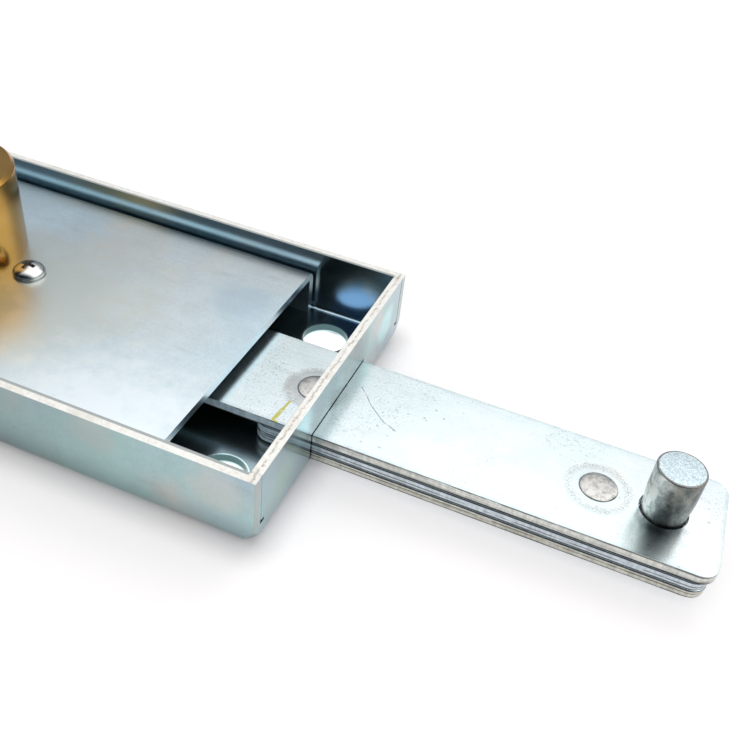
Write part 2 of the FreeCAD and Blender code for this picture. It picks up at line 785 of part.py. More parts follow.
def plug_clip():
    """The open spring clip that keeps the plug in the barrel."""
    low, high = clip_groove()
    waist = s.plug_radius - s.clip_reach
    out = s.plug_radius + s.clip_reach
    ring = turned("clip_ring", [(waist, 0), (out, 0), (out, s.clip_height), (waist, s.clip_height)], 0, 0, low)
    mouth_half = waist * s.clip_mouth
    mouth = block("clip_mouth", (0, out + PAST), (-mouth_half, mouth_half), (low - PAST, high + PAST))
    return keep("plug_clip", cut("clip_cut", ring, [mouth]))


def pin_set(label, radius, start, length):
    """One row of round pins across the chambers, from a distance out along +Y."""
    pins = [rod("%s_%d" % (label, i + 1), radius, length, 0, start, z, "Y") for i, z in enumerate(chamber_levels())]
    return keep(label, group(label + "_set", pins))


def tumblers():
    """Key pins, driver pins, springs and caps, standing at the shear line as a right key lifts them."""
    key_start = s.keyway_back - s.pin_lift
    key_end = s.plug_radius - s.shear_gap
    driver_start = s.plug_radius + s.plug_play + s.shear_gap / 4
    cap_start = s.barrel_radius - s.cap_length - s.cap_sink
    pin_set("key_pins", s.chamber_radius, key_start, key_end - key_start)
    pin_set("driver_pins", s.chamber_radius, driver_start, s.driver_length)
    pin_set("chamber_caps", s.chamber_radius + s.chamber_play, cap_start, s.cap_length)
    return driver_start + s.driver_length, cap_start


def coil(radius, run, wire, turns=3, sides=10):
    """A coil of square wire, lofted section by section so that its faces stay few."""
    sections = []
    for step in range(turns * sides + 1):
        angle = 2 * math.pi * step / sides
        height = run * step / (turns * sides)
        corners = [FreeCAD.Vector((radius + out * wire / 2) * math.cos(angle),
                                  (radius + out * wire / 2) * math.sin(angle), height + up * wire / 2)
                   for out, up in ((-1, -1), (1, -1), (1, 1), (-1, 1), (-1, -1))]
        sections.append(Part.makePolygon(corners))
    return Part.makeLoft(sections, True, True)


def pin_springs(start, end):
    """Five short coil springs between the driver pins and the caps."""
    wire = s.spring_wire.number
    radius = s.chamber_radius.number - wire / 2 - s.spring_play.number
    run = end.number - start.number - wire
    springs = []
    for index, z in enumerate(chamber_levels()):
        thing = doc.addObject("Part::Feature", "pin_spring_%d" % (index + 1))
        thing.Shape = coil(radius, run, wire)
        thing.Placement = FreeCAD.Placement(FreeCAD.Vector(0, start.number + wire / 2, z.number), AXIS_TURN["Y"])
        springs.append(thing)
    return keep("pin_springs", group("pin_spring_set", springs))


def build():
    case_tray()
    cover_plate()
    cover_screws()
    cover_posts()
    for side, way in (("right", 1), ("left", -1)):
        bolt_guide(side, way)
        bolt_top_plate(side)
        bolt_lower_plate(side, "middle", stack_low + plate_pitch)
        bolt_lower_plate(side, "bottom", stack_low)
        bolt_rivets(side, way)
        bolt_pin(side, way)
    guide_rivets()
    pinion_bush()
    pinion()
    drive_spindle()
    cylinder_barrel()
    cylinder_nut()
    cylinder_plug()
    plug_clip()
    pin_springs(*tumblers())


def check():
    """Stops before anything is written if a feature failed or a piece has no valid solid."""
    doc.recompute()
    for thing in doc.Objects:
        for word in ("Invalid", "Error"):
            if word in thing.State:
                raise RuntimeError("%s is %s" % (thing.Label, word))
    for thing in nodes:
        shape = thing.Shape
        if shape.isNull() or not shape.isValid() or not shape.Solids:
            raise RuntimeError("%s has no valid solid" % thing.Label)
        print("%-26s %2d solid  %9.1f mm3" % (thing.Label, len(shape.Solids), shape.Volume))


def export():
    os.makedirs("parts", exist_ok=True)
    for thing in nodes:
        thing.Shape.exportStep("parts/%s.step" % thing.Label)


build()
check()
export()
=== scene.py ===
"""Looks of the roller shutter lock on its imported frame: plated sheet, laminated bolts, a brass cylinder."""
import logging
import math
from dataclasses import dataclass, field
from enum import Enum
from typing import Callable

import bmesh
import bpy
from mathutils import Matrix, Vector


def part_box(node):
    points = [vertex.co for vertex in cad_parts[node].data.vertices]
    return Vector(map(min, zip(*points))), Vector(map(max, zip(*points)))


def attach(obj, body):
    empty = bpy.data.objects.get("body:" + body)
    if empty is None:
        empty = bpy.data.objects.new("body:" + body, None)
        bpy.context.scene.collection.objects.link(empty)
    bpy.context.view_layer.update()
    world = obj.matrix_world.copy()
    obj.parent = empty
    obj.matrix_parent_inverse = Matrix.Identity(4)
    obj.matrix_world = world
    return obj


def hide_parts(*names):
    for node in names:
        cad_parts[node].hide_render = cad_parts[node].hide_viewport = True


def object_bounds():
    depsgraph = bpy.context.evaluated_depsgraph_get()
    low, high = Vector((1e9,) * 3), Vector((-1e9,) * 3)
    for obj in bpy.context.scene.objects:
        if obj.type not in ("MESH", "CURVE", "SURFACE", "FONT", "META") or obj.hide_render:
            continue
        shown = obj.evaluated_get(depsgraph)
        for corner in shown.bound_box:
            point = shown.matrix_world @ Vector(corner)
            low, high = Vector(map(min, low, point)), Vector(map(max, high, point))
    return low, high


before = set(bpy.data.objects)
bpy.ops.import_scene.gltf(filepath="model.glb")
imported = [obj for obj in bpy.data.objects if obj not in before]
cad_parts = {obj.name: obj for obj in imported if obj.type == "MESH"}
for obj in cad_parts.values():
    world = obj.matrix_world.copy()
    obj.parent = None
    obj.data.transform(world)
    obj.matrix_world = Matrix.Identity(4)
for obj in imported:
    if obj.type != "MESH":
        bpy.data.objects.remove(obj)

log = logging.getLogger("lock")
MM = 0.001
NEAR = 0.01 * MM
CAD_BOUNDS = [list(corner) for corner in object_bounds()]


class Side(Enum):
    """The two ends of the lock, with the sign of X on each."""

    RIGHT = 1
    LEFT = -1

    @property
    def word(self) -> str:
        """The word that node and body names start with."""
        return self.name.lower()


class Wire:
    """One shader socket that can be used in arithmetic."""

    def __init__(self, shader: "Shader", socket: bpy.types.NodeSocket) -> None:
        """Keeps the socket and the shader that it belongs to."""
        self.shader = shader
        self.socket = socket

    def _math(self, operation: str, first: object, second: object = 0.0) -> "Wire":
        """Adds one Math node."""
        return self.shader.make("ShaderNodeMath", {"operation": operation}, {0: first, 1: second})

    def __add__(self, other: object) -> "Wire":
        """Sum."""
        return self._math("ADD", self, other)

    def __sub__(self, other: object) -> "Wire":
        """Difference."""
        return self._math("SUBTRACT", self, other)

    def __rsub__(self, other: object) -> "Wire":
        """Difference from a number."""
        return self._math("SUBTRACT", other, self)

    def __mul__(self, other: object) -> "Wire":
        """Product."""
        return self._math("MULTIPLY", self, other)

    def __truediv__(self, other: object) -> "Wire":
        """Quotient."""
        return self._math("DIVIDE", self, other)

    def largest(self, other: object) -> "Wire":
        """The larger of two values."""
        return self._math("MAXIMUM", self, other)

    def size(self) -> "Wire":
        """The value without its sign."""
        return self._math("ABSOLUTE", self)

    __radd__ = __add__
    __rmul__ = __mul__


class Shader:
    """The node tree of a material or of the surroundings, with one node-making method and short forms."""

    def __init__(self, name: str, surroundings: bool = False) -> None:
        """Makes an empty material of that name, or empty surroundings.

        Args:
            name: The name.
            surroundings: Whether the tree lights the scene rather than a piece.
        """
        self.owner = bpy.data.worlds.new(name) if surroundings else bpy.data.materials.new(name)
        self.owner.use_nodes = True
        self.tree = self.owner.node_tree
        self.tree.nodes.clear()

    def make(self, kind: str, settings: dict | None = None, inputs: dict | None = None,
             output: int | str = 0) -> Wire:
        """Adds a node.

        Args:
            kind: The node's type.
            settings: Properties that are set first; "stops" fills a colour ramp.
            inputs: Values or wires for its sockets, by name or number.
            output: The socket that the wire leaves by.

        Returns:
            A wire on that socket.
        """
        node = self.tree.nodes.new(kind)
        for key, value in (settings or {}).items():
            if key == "stops":
                ramp = node.color_ramp
                for index, (place, colour) in enumerate(value):
                    stop = ramp.elements[index] if index < 2 else ramp.elements.new(place)
                    stop.position = place
                    stop.color = (*colour, 1.0)
            else:
                setattr(node, key, value)
        for key, value in (inputs or {}).items():
            if isinstance(value, Wire):
                self.tree.links.new(value.socket, node.inputs[key])
            else:
                node.inputs[key].default_value = value
        return Wire(self, node.outputs[output])

    def place(self) -> Wire:
        """The point on the piece, in metres."""
        return self.make("ShaderNodeTexCoord", output="Object")

    def normal(self) -> Wire:
        """The surface's direction in the piece's own frame."""
        return self.make("ShaderNodeTexCoord", output="Normal")

    def seen(self) -> Wire:
        """1 for rays from the camera, off a mirror or through glass, and 0 for rays that light the lock."""
        camera = self.make("ShaderNodeLightPath", output="Is Camera Ray")
        mirrored = self.make("ShaderNodeLightPath", output="Is Glossy Ray")
        through = self.make("ShaderNodeLightPath", output="Is Transmission Ray")
        return camera.largest(mirrored.largest(through))

    def axis(self, vector: Wire, letter: str) -> Wire:
        """One part of a vector."""
        return self.make("ShaderNodeSeparateXYZ", inputs={0: vector}, output=letter)

    def vector(self, operation: str, first: object, second: object = (0.0, 0.0, 0.0),
               output: str = "Vector") -> Wire:
        """A Vector Math node."""
        return self.make("ShaderNodeVectorMath", {"operation": operation}, {0: first, 1: second}, output)

    def stretched(self, vector: Wire, scale: tuple[float, float, float]) -> Wire:
        """A vector with each part multiplied by its own number."""
        return self.vector("MULTIPLY", vector, scale)

    def moved(self, vector: Wire, shift: tuple[float, float, float]) -> Wire:
        """A vector moved, so that a second noise differs from the first."""
        return self.vector("ADD", vector, shift)

    def off_axis(self, point: Wire, x: float = 0.0, y: float = 0.0) -> Wire:
        """Distance from an upright axis through x and y."""
        flat = self.stretched(point, (1.0, 1.0, 0.0))
        return self.vector("DISTANCE", flat, (x, y, 0.0), "Value")

    def noise(self, vector: Wire, scale: float, detail: float = 3.0, rough: float = 0.5) -> Wire:
        """Noise from 0 to 1."""
        return self.make("ShaderNodeTexNoise", None,
                         {"Vector": vector, "Scale": scale, "Detail": detail, "Roughness": rough}, "Fac")

    def step(self, value: Wire, low: float, high: float, out_low: float = 0.0, out_high: float = 1.0) -> Wire:
        """A smooth step from one level to another, held at both ends.

        Args:
            value: The value that is looked at.
            low: Where the step starts.
            high: Where the step ends.
            out_low: The level before it.
            out_high: The level after it.

        Returns:
            The level.
        """
        settings = {"interpolation_type": "SMOOTHSTEP", "clamp": True}
        inputs = {"Value": value, "From Min": low, "From Max": high, "To Min": out_low, "To Max": out_high}
        return self.make("ShaderNodeMapRange", settings, inputs, "Result")

    def mix(self, factor: object, first: object, second: object, blend: str = "MIX") -> Wire:
        """A mix of two colours; a plain colour is a tuple of three.

        Args:
            factor: The share of the second colour.
            first: The colour at 0.
            second: The colour at 1.
            blend: How the two are blended.

        Returns:
            The colour.
        """
        pair = [(*c, 1.0) if isinstance(c, tuple) else c for c in (first, second)]
        return self.make("ShaderNodeMix", {"data_type": "RGBA", "blend_type": blend},
                         {"Factor": factor, 6: pair[0], 7: pair[1]}, 2)

    def shaded(self, base: Wire, shade: Wire) -> Wire:
        """A colour brightened or darkened by a value round 1."""
        grey = self.make("ShaderNodeCombineColor", None, {0: shade, 1: shade, 2: shade})
        return self.mix(1.0, base, grey, "MULTIPLY")

    def ramp(self, value: Wire, stops: list[tuple[float, tuple[float, float, float]]]) -> Wire:
        """A colour chosen along a ramp."""
        return self.make("ShaderNodeValToRGB", {"stops": stops}, {"Fac": value}, "Color")

    def bump(self, height: Wire, depth: float, strength: float = 1.0) -> Wire:
        """A normal bent by a height from 0 to 1 that stands for a depth in metres."""
        return self.make("ShaderNodeBump", None, {"Height": height, "Distance": depth, "Strength": strength},
                         "Normal")

    def near_line(self, point: Wire, start: Vector, end: Vector) -> Wire:
        """Distance from a point to a straight stroke, in metres.

        Args:
            point: The point on the piece, in metres.
            start: One end of the stroke.
            end: The other end.

        Returns:
            The distance.
        """
        along = end - start
        offset = self.vector("SUBTRACT", point, tuple(start))
        share = self.vector("DOT_PRODUCT", offset, tuple(along), "Value") / along.length_squared
        held = self.step_linear(share)
        foot = self.make("ShaderNodeVectorMath", {"operation": "SCALE"}, {0: tuple(along), "Scale": held})
        return self.vector("DISTANCE", offset, foot, "Value")

    def step_linear(self, value: Wire) -> Wire:
        """A value held between 0 and 1."""
        return self.make("ShaderNodeClamp", None, {"Value": value}, "Result")

    def metal(self, base: Wire, rough: object, normal: Wire, metallic: object = 1.0) -> bpy.types.Material:
        """Closes the material with one metal surface.

        Args:
            base: Reflected colour.
            rough: Roughness, a number or a wire.
            normal: Bent normal.
            metallic: Share of metal, a number or a wire.

        Returns:
            The finished material.
        """
        inputs = {"Base Color": base, "Roughness": rough, "Metallic": metallic, "Normal": normal}
        self.close(self.make("ShaderNodeBsdfPrincipled", None, inputs, "BSDF"))
        return self.owner

    def close(self, surface: Wire, kind: str = "ShaderNodeOutputMaterial") -> None:
        """Joins a surface to the tree's output."""
        out = self.tree.nodes.new(kind)
        self.tree.links.new(surface.socket, out.inputs["Surface"])


# Finishes

Colour = tuple[float, float, float]


@dataclass(frozen=True)
class Stroke:
    """A straight mark on a surface, in millimetres."""

    start: tuple[float, float, float]
    end: tuple[float, float, float]
    width: float

    def mask(self, shader: Shader, point: Wire) -> Wire:
        """1 on the mark and 0 away from it."""
        distance = shader.near_line(point, Vector(self.start) * MM, Vector(self.end) * MM)
        return shader.step(distance, self.width * 0.6 * MM, self.width * 0.25 * MM)


@dataclass(frozen=True)
class StainOrLightPatch:
    """A cloudy patch of another tint, in millimetres, used for stained patches and for painted light and
    shade.
    """

    centre: tuple[float, float, float]
    radius: float
    tone: Colour
    share: float

    def mask(self, shader: Shader, point: Wire) -> Wire:
        """Up to the stain's share in its middle and 0 away from it.

        Args:
            shader: The node tree of the finish.
            point: The point on the piece, in metres.

        Returns:
            The mask.
        """
        away = shader.vector("DISTANCE", point, tuple(Vector(self.centre) * MM), "Value")
        ragged = (shader.noise(point, 300.0, 3.0, 0.6) - 0.5) * (self.radius * 0.8 * MM)
        return shader.step(away + ragged, self.radius * MM, self.radius * 0.35 * MM, 0.0, self.share)


@dataclass(frozen=True)
class ZincFinish:
    """Bright zinc plate with a blue passivate: cloudy tints, rolled streaks, fine grain and sheared edges."""

    name: str
    tint: Colour
    cloud: Colour
    warm: Colour
    rough: float = 0.26
    streaks: float = 0.10
    grain: float = 0.10
    tint_spread: float = 0.5
    edge: Colour = (0.90, 0.89, 0.85)
    pen_ink: Colour = (0.62, 0.58, 0.09)
    # Colour of the painted highlights on the fixing holes' rims and feet.
    rim_highlight: Colour = (0.62, 0.84, 0.86)
    edge_level: float | None = None
    sides: bool = False
    scratches: tuple[Stroke, ...] = ()
    pen: tuple[Stroke, ...] = ()
    press_marks: tuple[tuple[float, float], ...] = ()
    worn_and_shaded_walls: bool = False
    # Stained patches, and on some pieces painted light and shade.
    stain_and_light_patches: tuple[StainOrLightPatch, ...] = ()
    pitted: float = 0.5
    holes: tuple[float, float, float] = (70.8, 20.8, 4.5)
    # Painted shade: a dark blue spot on the back wall's inner face, in the right bay behind the bolt.
    bay_shade: StainOrLightPatch = StainOrLightPatch((73.3, 29.2, 6.0), 7.0, (0.13, 0.32, 0.60), 0.85)

    def clouds(self, shader: Shader, point: Wire) -> Wire:
        """The passivate's slow change of tint, from blue-grey through green to a warm grey.

        Args:
            shader: The node tree of the finish.
            point: The point on the piece, in metres.

        Returns:
            The colour of the plate.
        """
        broad = shader.noise(shader.stretched(point, (1.0, 1.3, 2.2)), 26.0, 2.0, 0.45)
        drift = shader.noise(shader.moved(point, (0.31, 0.17, 0.05)), 55.0, 3.0, 0.55)
        tinted = shader.mix(shader.step(broad, 0.38, 0.66, 0.0, self.tint_spread), self.tint, self.cloud)
        return shader.mix(shader.step(drift, 0.52, 0.74, 0.0, self.tint_spread), tinted, self.warm)

    def grain_height(self, shader: Shader, point: Wire) -> Wire:
        """Fine crystal grain with the rolling lines of the sheet.

        Args:
            shader: The node tree of the finish.
            point: The point on the piece, in metres.

        Returns:
            A height from 0 to 1.
        """
        crystals = shader.noise(point, 2600.0, 3.0, 0.6)
        rolled = shader.noise(shader.stretched(point, (0.06, 1.0, 1.0)), 1500.0, 2.0, 0.5)
        return crystals * 0.75 + rolled * 0.25

    def shade(self, shader: Shader, point: Wire, height: Wire) -> Wire:
        """Streaks along the rolling, grain and a fine dapple, as a value round 1.

        Args:
            shader: The node tree of the finish.
            point: The point on the piece, in metres.
            height: The height of the grain, from 0 to 1.

        Returns:
            A value round 1.
        """
        streak = shader.noise(shader.stretched(point, (0.05, 1.0, 0.3)), 420.0, 3.0, 0.6)
        dapple = shader.noise(shader.moved(point, (0.0, 0.0, 0.27)), 240.0, 4.0, 0.6)
        lines = 1.0 - self.streaks * 0.5 + streak * self.streaks
        return lines + (height - 0.5) * self.grain + (dapple - 0.5) * 0.22

    def weathered(self, shader: Shader, point: Wire, base: Wire) -> Wire:
        """Pits, smears, groups of dark pores and this piece's own patches, stained ones and painted light and
        shade.

        Args:
            shader: The node tree of the finish.
            point: The point on the piece, in metres.
            base: The colour so far.

        Returns:
            The colour.
        """
        specks = shader.make("ShaderNodeTexVoronoi", None, {"Vector": point, "Scale": 520.0}, "Distance")
        pits = shader.step(specks, 0.17, 0.08) * shader.step(shader.noise(point, 90.0), 0.50, 0.62)
        base = shader.mix(pits * self.pitted, base, (0.24, 0.25, 0.24))
        along = shader.stretched(shader.moved(point, (0.13, 0.0, 0.0)), (0.35, 1.0, 1.0))
        smears = shader.noise(along, 260.0, 5.0, 0.7)
        base = shader.mix(shader.step(smears, 0.56, 0.74) * 0.22, base, (0.30, 0.33, 0.33))
        pores = shader.step(shader.noise(point, 2300.0, 3.0, 0.7), 0.54, 0.66)
        groups = shader.step(shader.noise(shader.moved(point, (0.0, 0.21, 0.0)), 75.0, 3.0, 0.6), 0.44, 0.66)
        base = shader.mix(pores * groups * self.pitted * 0.8, base, (0.20, 0.21, 0.21))
        # This piece's own patches: stained ones, and on some pieces painted light and shade.
        for patch in self.stain_and_light_patches:
            base = shader.mix(patch.mask(shader, point), base, patch.tone)
        return base

    def marked(self, shader: Shader, point: Wire, base: Wire, metallic: object) -> tuple[Wire, object]:
        """Scratches, and the marks of a yellow pen, which hide the metal.

        Args:
            shader: The node tree of the finish.
            point: The point on the piece, in metres.
            base: The colour so far.
            metallic: The share of metal so far.

        Returns:
            The colour and the share of metal.
        """
        for stroke in self.scratches:
            broken = shader.step(shader.noise(point, 900.0), 0.36, 0.56, 0.35, 0.9)
            base = shader.mix(stroke.mask(shader, point) * broken, base, (0.20, 0.22, 0.22))
        marks: Wire | None = None
        for stroke in self.pen:
            ragged = shader.step(shader.noise(point, 1300.0), 0.30, 0.52, 0.25, 0.95)
            mask = stroke.mask(shader, point) * ragged
            base = shader.mix(mask, base, self.pen_ink)
            marks = mask if marks is None else marks.largest(mask)
        return base, metallic if marks is None else metallic - marks * 0.85

    def build(self) -> bpy.types.Material:
        """The finished material."""
        shader = Shader(self.name)
        point = shader.place()
        normal = shader.normal()
        height = self.grain_height(shader, point)
        base = shader.shaded(self.clouds(shader, point), self.shade(shader, point, height))
        base = self.weathered(shader, point, base)
        rough = self.rough + (shader.noise(point, 45.0, 4.0, 0.6) - 0.5) * 0.14
        metallic: object = 1.0
        if self.worn_and_shaded_walls:
            base = self.slot_rub_and_shade(shader, point, base)
            base = self.wall_shading_and_cuts(shader, point, normal, base)
        if self.sides:
            base, rough, metallic = self.cut_sides(shader, point, normal, base, rough)
        if self.edge_level is not None:
            base, rough, metallic = self.sheared_edge(shader, point, normal, base, rough)
        base, metallic = self.marked(shader, point, base, metallic)
        for x, y in self.press_marks:
            base, height = self.press_mark(shader, point, x * MM, y * MM, base, height)
        return shader.metal(base, rough, shader.bump(height, 0.00002, 0.55), metallic)

    def slot_rub_and_shade(self, shader: Shader, point: Wire, base: Wire) -> Wire:
        """The end walls darker and duller just above the bolt's slot: patchy rub, and painted shade where the
        bolt's shadow and dark reflection fall.

        Args:
            shader: The node tree of the finish.
            point: The point on the piece, in metres.
            base: The colour so far.

        Returns:
            The colour.
        """
        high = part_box("right_bolt_top_plate")[1]
        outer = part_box("case_tray")[1]
        beside = shader.step(shader.axis(point, "Y").size(), high.y + 3.0 * MM, high.y - 1.0 * MM)
        above = shader.step(shader.axis(point, "Z"), high.z - 1.0 * MM, high.z + 0.5 * MM)
        outside = shader.step(shader.axis(point, "X").size(), outer.x - 0.4 * MM, outer.x - 0.1 * MM)
        patchy = shader.step(shader.noise(point, 160.0, 3.0, 0.6), 0.30, 0.62, 0.55, 1.0)
        # Painted shade with patchy rub: the end walls darker just above the bolt's slot.
        return shader.mix(beside * above * outside * patchy * 0.75, base, (0.19, 0.24, 0.25))

    def wall_shading_and_cuts(self, shader: Shader, point: Wire, normal: Wire, base: Wire) -> Wire:
        """Painted shade on the front wall, darker to its foot and left end; a painted reflection on the back
        wall's inner face, an even blue; painted shade in the right bay; the cut corners; and the fixing
        holes.

        Args:
            shader: The node tree of the finish.
            point: The point on the piece, in metres.
            normal: The surface's direction.
            base: The colour so far.

        Returns:
            The colour.
        """
        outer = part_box("case_tray")[1]
        level = shader.axis(point, "Z")
        toward = shader.step(shader.axis(normal, "Y"), -0.6, -0.9)
        nearer = shader.step(shader.axis(point, "Y"), 1.0 * MM, -1.0 * MM)
        front = toward * nearer
        # Painted shade: the front wall darker towards its foot and its left end, where it mirrors the
        # shadowed floor, and lighter at its right end.
        across = shader.step(shader.axis(point, "X"), 20.0 * MM, 82.0 * MM, 0.66, 1.12)
        foot = shader.step(level, 0.0, 8.0 * MM, 0.72, 1.0)
        base = shader.mix(front, base, shader.shaded(base, across * foot))
        # Painted reflection: the back wall's inner face an even blue between the bays.
        beside = shader.step(shader.axis(point, "X").size(), 66.0 * MM, 58.0 * MM)
        behind = toward * (1.0 - nearer)
        base = shader.mix(behind * beside * 0.7, base, (0.34, 0.46, 0.54))
        # Painted shade: a dark blue spot in the right bay behind the bolt.
        base = shader.mix(behind * self.bay_shade.mask(shader, point), base, self.bay_shade.tone)
        end = shader.step(shader.axis(point, "X").size(), outer.x - 0.25 * MM, outer.x - 0.05 * MM)
        cut = end * shader.step(shader.axis(point, "Y").size(), outer.y - 1.3 * MM, outer.y - 0.9 * MM)
        cut = cut * shader.step(level, 4.0 * MM, 5.0 * MM)
        base = shader.mix(cut * 0.7, base, (0.44, 0.43, 0.38))
        return self.fixing_holes(shader, point, level, base)

    def fixing_holes(self, shader: Shader, point: Wire, level: Wire, base: Wire) -> Wire:
        """Painted shade round the fixing holes and on their walls, and painted highlights on their rims and
        feet.

        Args:
            shader: The node tree of the finish.
            point: The point on the piece, in metres.
            level: The point's height above the underside.
            base: The colour so far.

        Returns:
            The colour.
        """
        hole_x, hole_y, radius = self.holes
        away = shader.off_axis(shader.vector("ABSOLUTE", point), hole_x * MM, hole_y * MM)
        low_down = shader.step(level, 2.6 * MM, 2.2 * MM)
        # Painted shade: the base darker round each hole.
        hole_shade = shader.step(away, (radius + 4.5) * MM, (radius + 1.5) * MM) * low_down
        base = shader.mix(hole_shade * 0.35, base, (0.05, 0.07, 0.08))
        # Painted highlight: a bright line round each hole's top rim.
        ring = shader.step((away - (radius + 0.12) * MM).size(), 0.24 * MM, 0.12 * MM) * low_down
        base = shader.mix(ring * 0.85, base, self.rim_highlight)
        # Painted shade: the hole's wall near black.
        wall = shader.step(away, (radius + 0.03) * MM, (radius + 0.01) * MM) * low_down
        base = shader.mix(wall * 0.9, base, (0.04, 0.10, 0.10))
        # Painted highlight: a bright line along the foot of the hole's wall.
        foot_highlight = wall * shader.step(level, 0.45 * MM, 0.25 * MM)
        return shader.mix(foot_highlight * 0.85, base, self.rim_highlight)

    def press_mark(self, shader: Shader, point: Wire, x: float, y: float, base: Wire,
                   height: Wire) -> tuple[Wire, Wire]:
        """The shallow dished ring that the rivet's tool leaves, with a dull halo.

        Args:
            shader: The node tree of the finish.
            point: The point on the piece, in metres.
            x: The mark's place along the lock, in metres.
            y: The mark's place across it.
            base: The colour so far.
            height: The height of the grain, from 0 to 1.

        Returns:
            The colour and the height.
        """
        away = shader.off_axis(point, x, y)
        wobble = (shader.noise(point, 240.0) - 0.5) * (1.1 * MM)
        ring = shader.step((away - 5.0 * MM + wobble).size(), 1.15 * MM, 0.1 * MM)
        halo = shader.step(away + wobble * 3.0, 6.5 * MM, 3.0 * MM)
        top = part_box("right_bolt_top_plate")[1].z
        upward = shader.step(shader.axis(point, "Z"), top - 0.3 * MM, top - 0.1 * MM)
        worn = shader.step(shader.noise(point, 4200.0, 3.0, 0.7), 0.44, 0.60)
        inner = shader.step(shader.axis(point, "X").size(), 84.0 * MM, 80.0 * MM, 0.10, 0.62)
        base = shader.mix(halo * upward * inner, base, (0.30, 0.28, 0.27))
        base = shader.mix(ring * upward * worn * 0.7, base, (0.34, 0.33, 0.31))
        return base, height - ring * upward * 1.3

    def cut_sides(self, shader: Shader, point: Wire, normal: Wire, base: Wire,
                  rough: Wire) -> tuple[Wire, Wire, Wire]:
        """Sheared plate edges: long rolled bands with short striae; painted shade where the plates meet and
        on the top edges, and a painted bluish reflection on the sides inside the case.

        Args:
            shader: The node tree of the finish.
            point: The point on the piece, in metres.
            normal: The surface's direction.
            base: The colour so far.
            rough: The roughness so far.

        Returns:
            The colour, the roughness and the share of metal.
        """
        side = shader.step(shader.axis(normal, "Z").size(), 0.75, 0.45)
        striae = shader.noise(shader.stretched(point, (1.0, 1.0, 0.25)), 1500.0, 3.0, 0.6)
        bands = shader.noise(shader.stretched(point, (0.05, 1.0, 4.0)), 420.0, 4.0, 0.6)
        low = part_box("right_bolt_bottom_plate")[0].z
        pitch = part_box("right_bolt_middle_plate")[0].z - low
        level = shader.axis(point, "Z")
        cut_colour = shader.ramp(bands, [(0.30, (0.26, 0.26, 0.24)), (0.42, (0.55, 0.56, 0.53)),
                                         (0.56, (0.74, 0.75, 0.71)), (0.76, (0.48, 0.47, 0.41))])
        middle = shader.step((level - (low + pitch * 1.5)).size(), 0.55 * pitch, 0.48 * pitch)
        cut_colour = shader.mix(middle * 0.65, cut_colour, (0.52, 0.62, 0.72))
        bottom = shader.step(level, low + 0.98 * pitch, low + 0.9 * pitch)
        cut_colour = shader.mix(bottom * 0.5, cut_colour, (0.50, 0.49, 0.40))
        # Painted reflection: the plates' sides inside the case lighter and bluish, and mostly not metal, so
        # that they show in the dark bay.
        inside_sheen = shader.step(shader.axis(point, "X").size(), 82.0 * MM, 80.5 * MM)
        cut_colour = shader.mix(inside_sheen * 0.9, cut_colour, (0.74, 0.88, 1.0))
        cut_colour = shader.shaded(cut_colour, shader.step(striae, 0.30, 0.70, 0.80, 1.12))
        wander = (shader.noise(shader.stretched(point, (0.3, 1.0, 1.0)), 500.0) - 0.5) * (0.20 * MM)
        # Painted shade: near-black bands where the plates meet.
        for place in (low, low + pitch, low + pitch * 2):
            gap_shade = shader.step((level - (place - 0.05 * MM) + wander).size(), 0.42 * MM, 0.26 * MM)
            cut_colour = shader.mix(gap_shade * 0.97, cut_colour, (0.015, 0.017, 0.02))
        broken = shader.noise(shader.stretched(point, (0.3, 1.0, 1.0)), 420.0, 3.0, 0.7)
        broken = shader.step(broken, 0.42, 0.54)
        for place in (low + pitch * 0.55, low + pitch * 1.40, low + pitch * 2.86):
            line = shader.step((level - place + wander).size(), 0.16 * MM, 0.07 * MM)
            cut_colour = shader.mix(line * broken * 0.8, cut_colour, (0.10, 0.09, 0.08))
        # Painted shade: a teal-grey line on the top plate's rounded edge.
        bend = shader.step(shader.axis(normal, "Z"), 0.985, 0.85)
        bend = bend * shader.step(level, low + pitch * 2.5, low + pitch * 2.7)
        base = shader.mix(bend * 0.45, base, (0.30, 0.38, 0.40))
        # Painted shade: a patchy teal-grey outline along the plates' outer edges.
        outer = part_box("right_bolt_top_plate")[1]
        edge_shade = shader.step(shader.axis(point, "Y").size(), outer.y - 0.9 * MM, outer.y - 0.2 * MM)
        edge_shade = edge_shade.largest(shader.step(shader.axis(point, "X").size(), outer.x - 0.9 * MM, outer.x - 0.2 * MM))
        patchy = shader.step(shader.noise(point, 500.0, 4.0, 0.7), 0.35, 0.60, 0.3, 1.0)
        base = shader.mix(edge_shade * patchy * 0.5, base, (0.40, 0.50, 0.53))
        return shader.mix(side, base, cut_colour), rough + side * 0.10, 1.0 - side * inside_sheen * 0.9

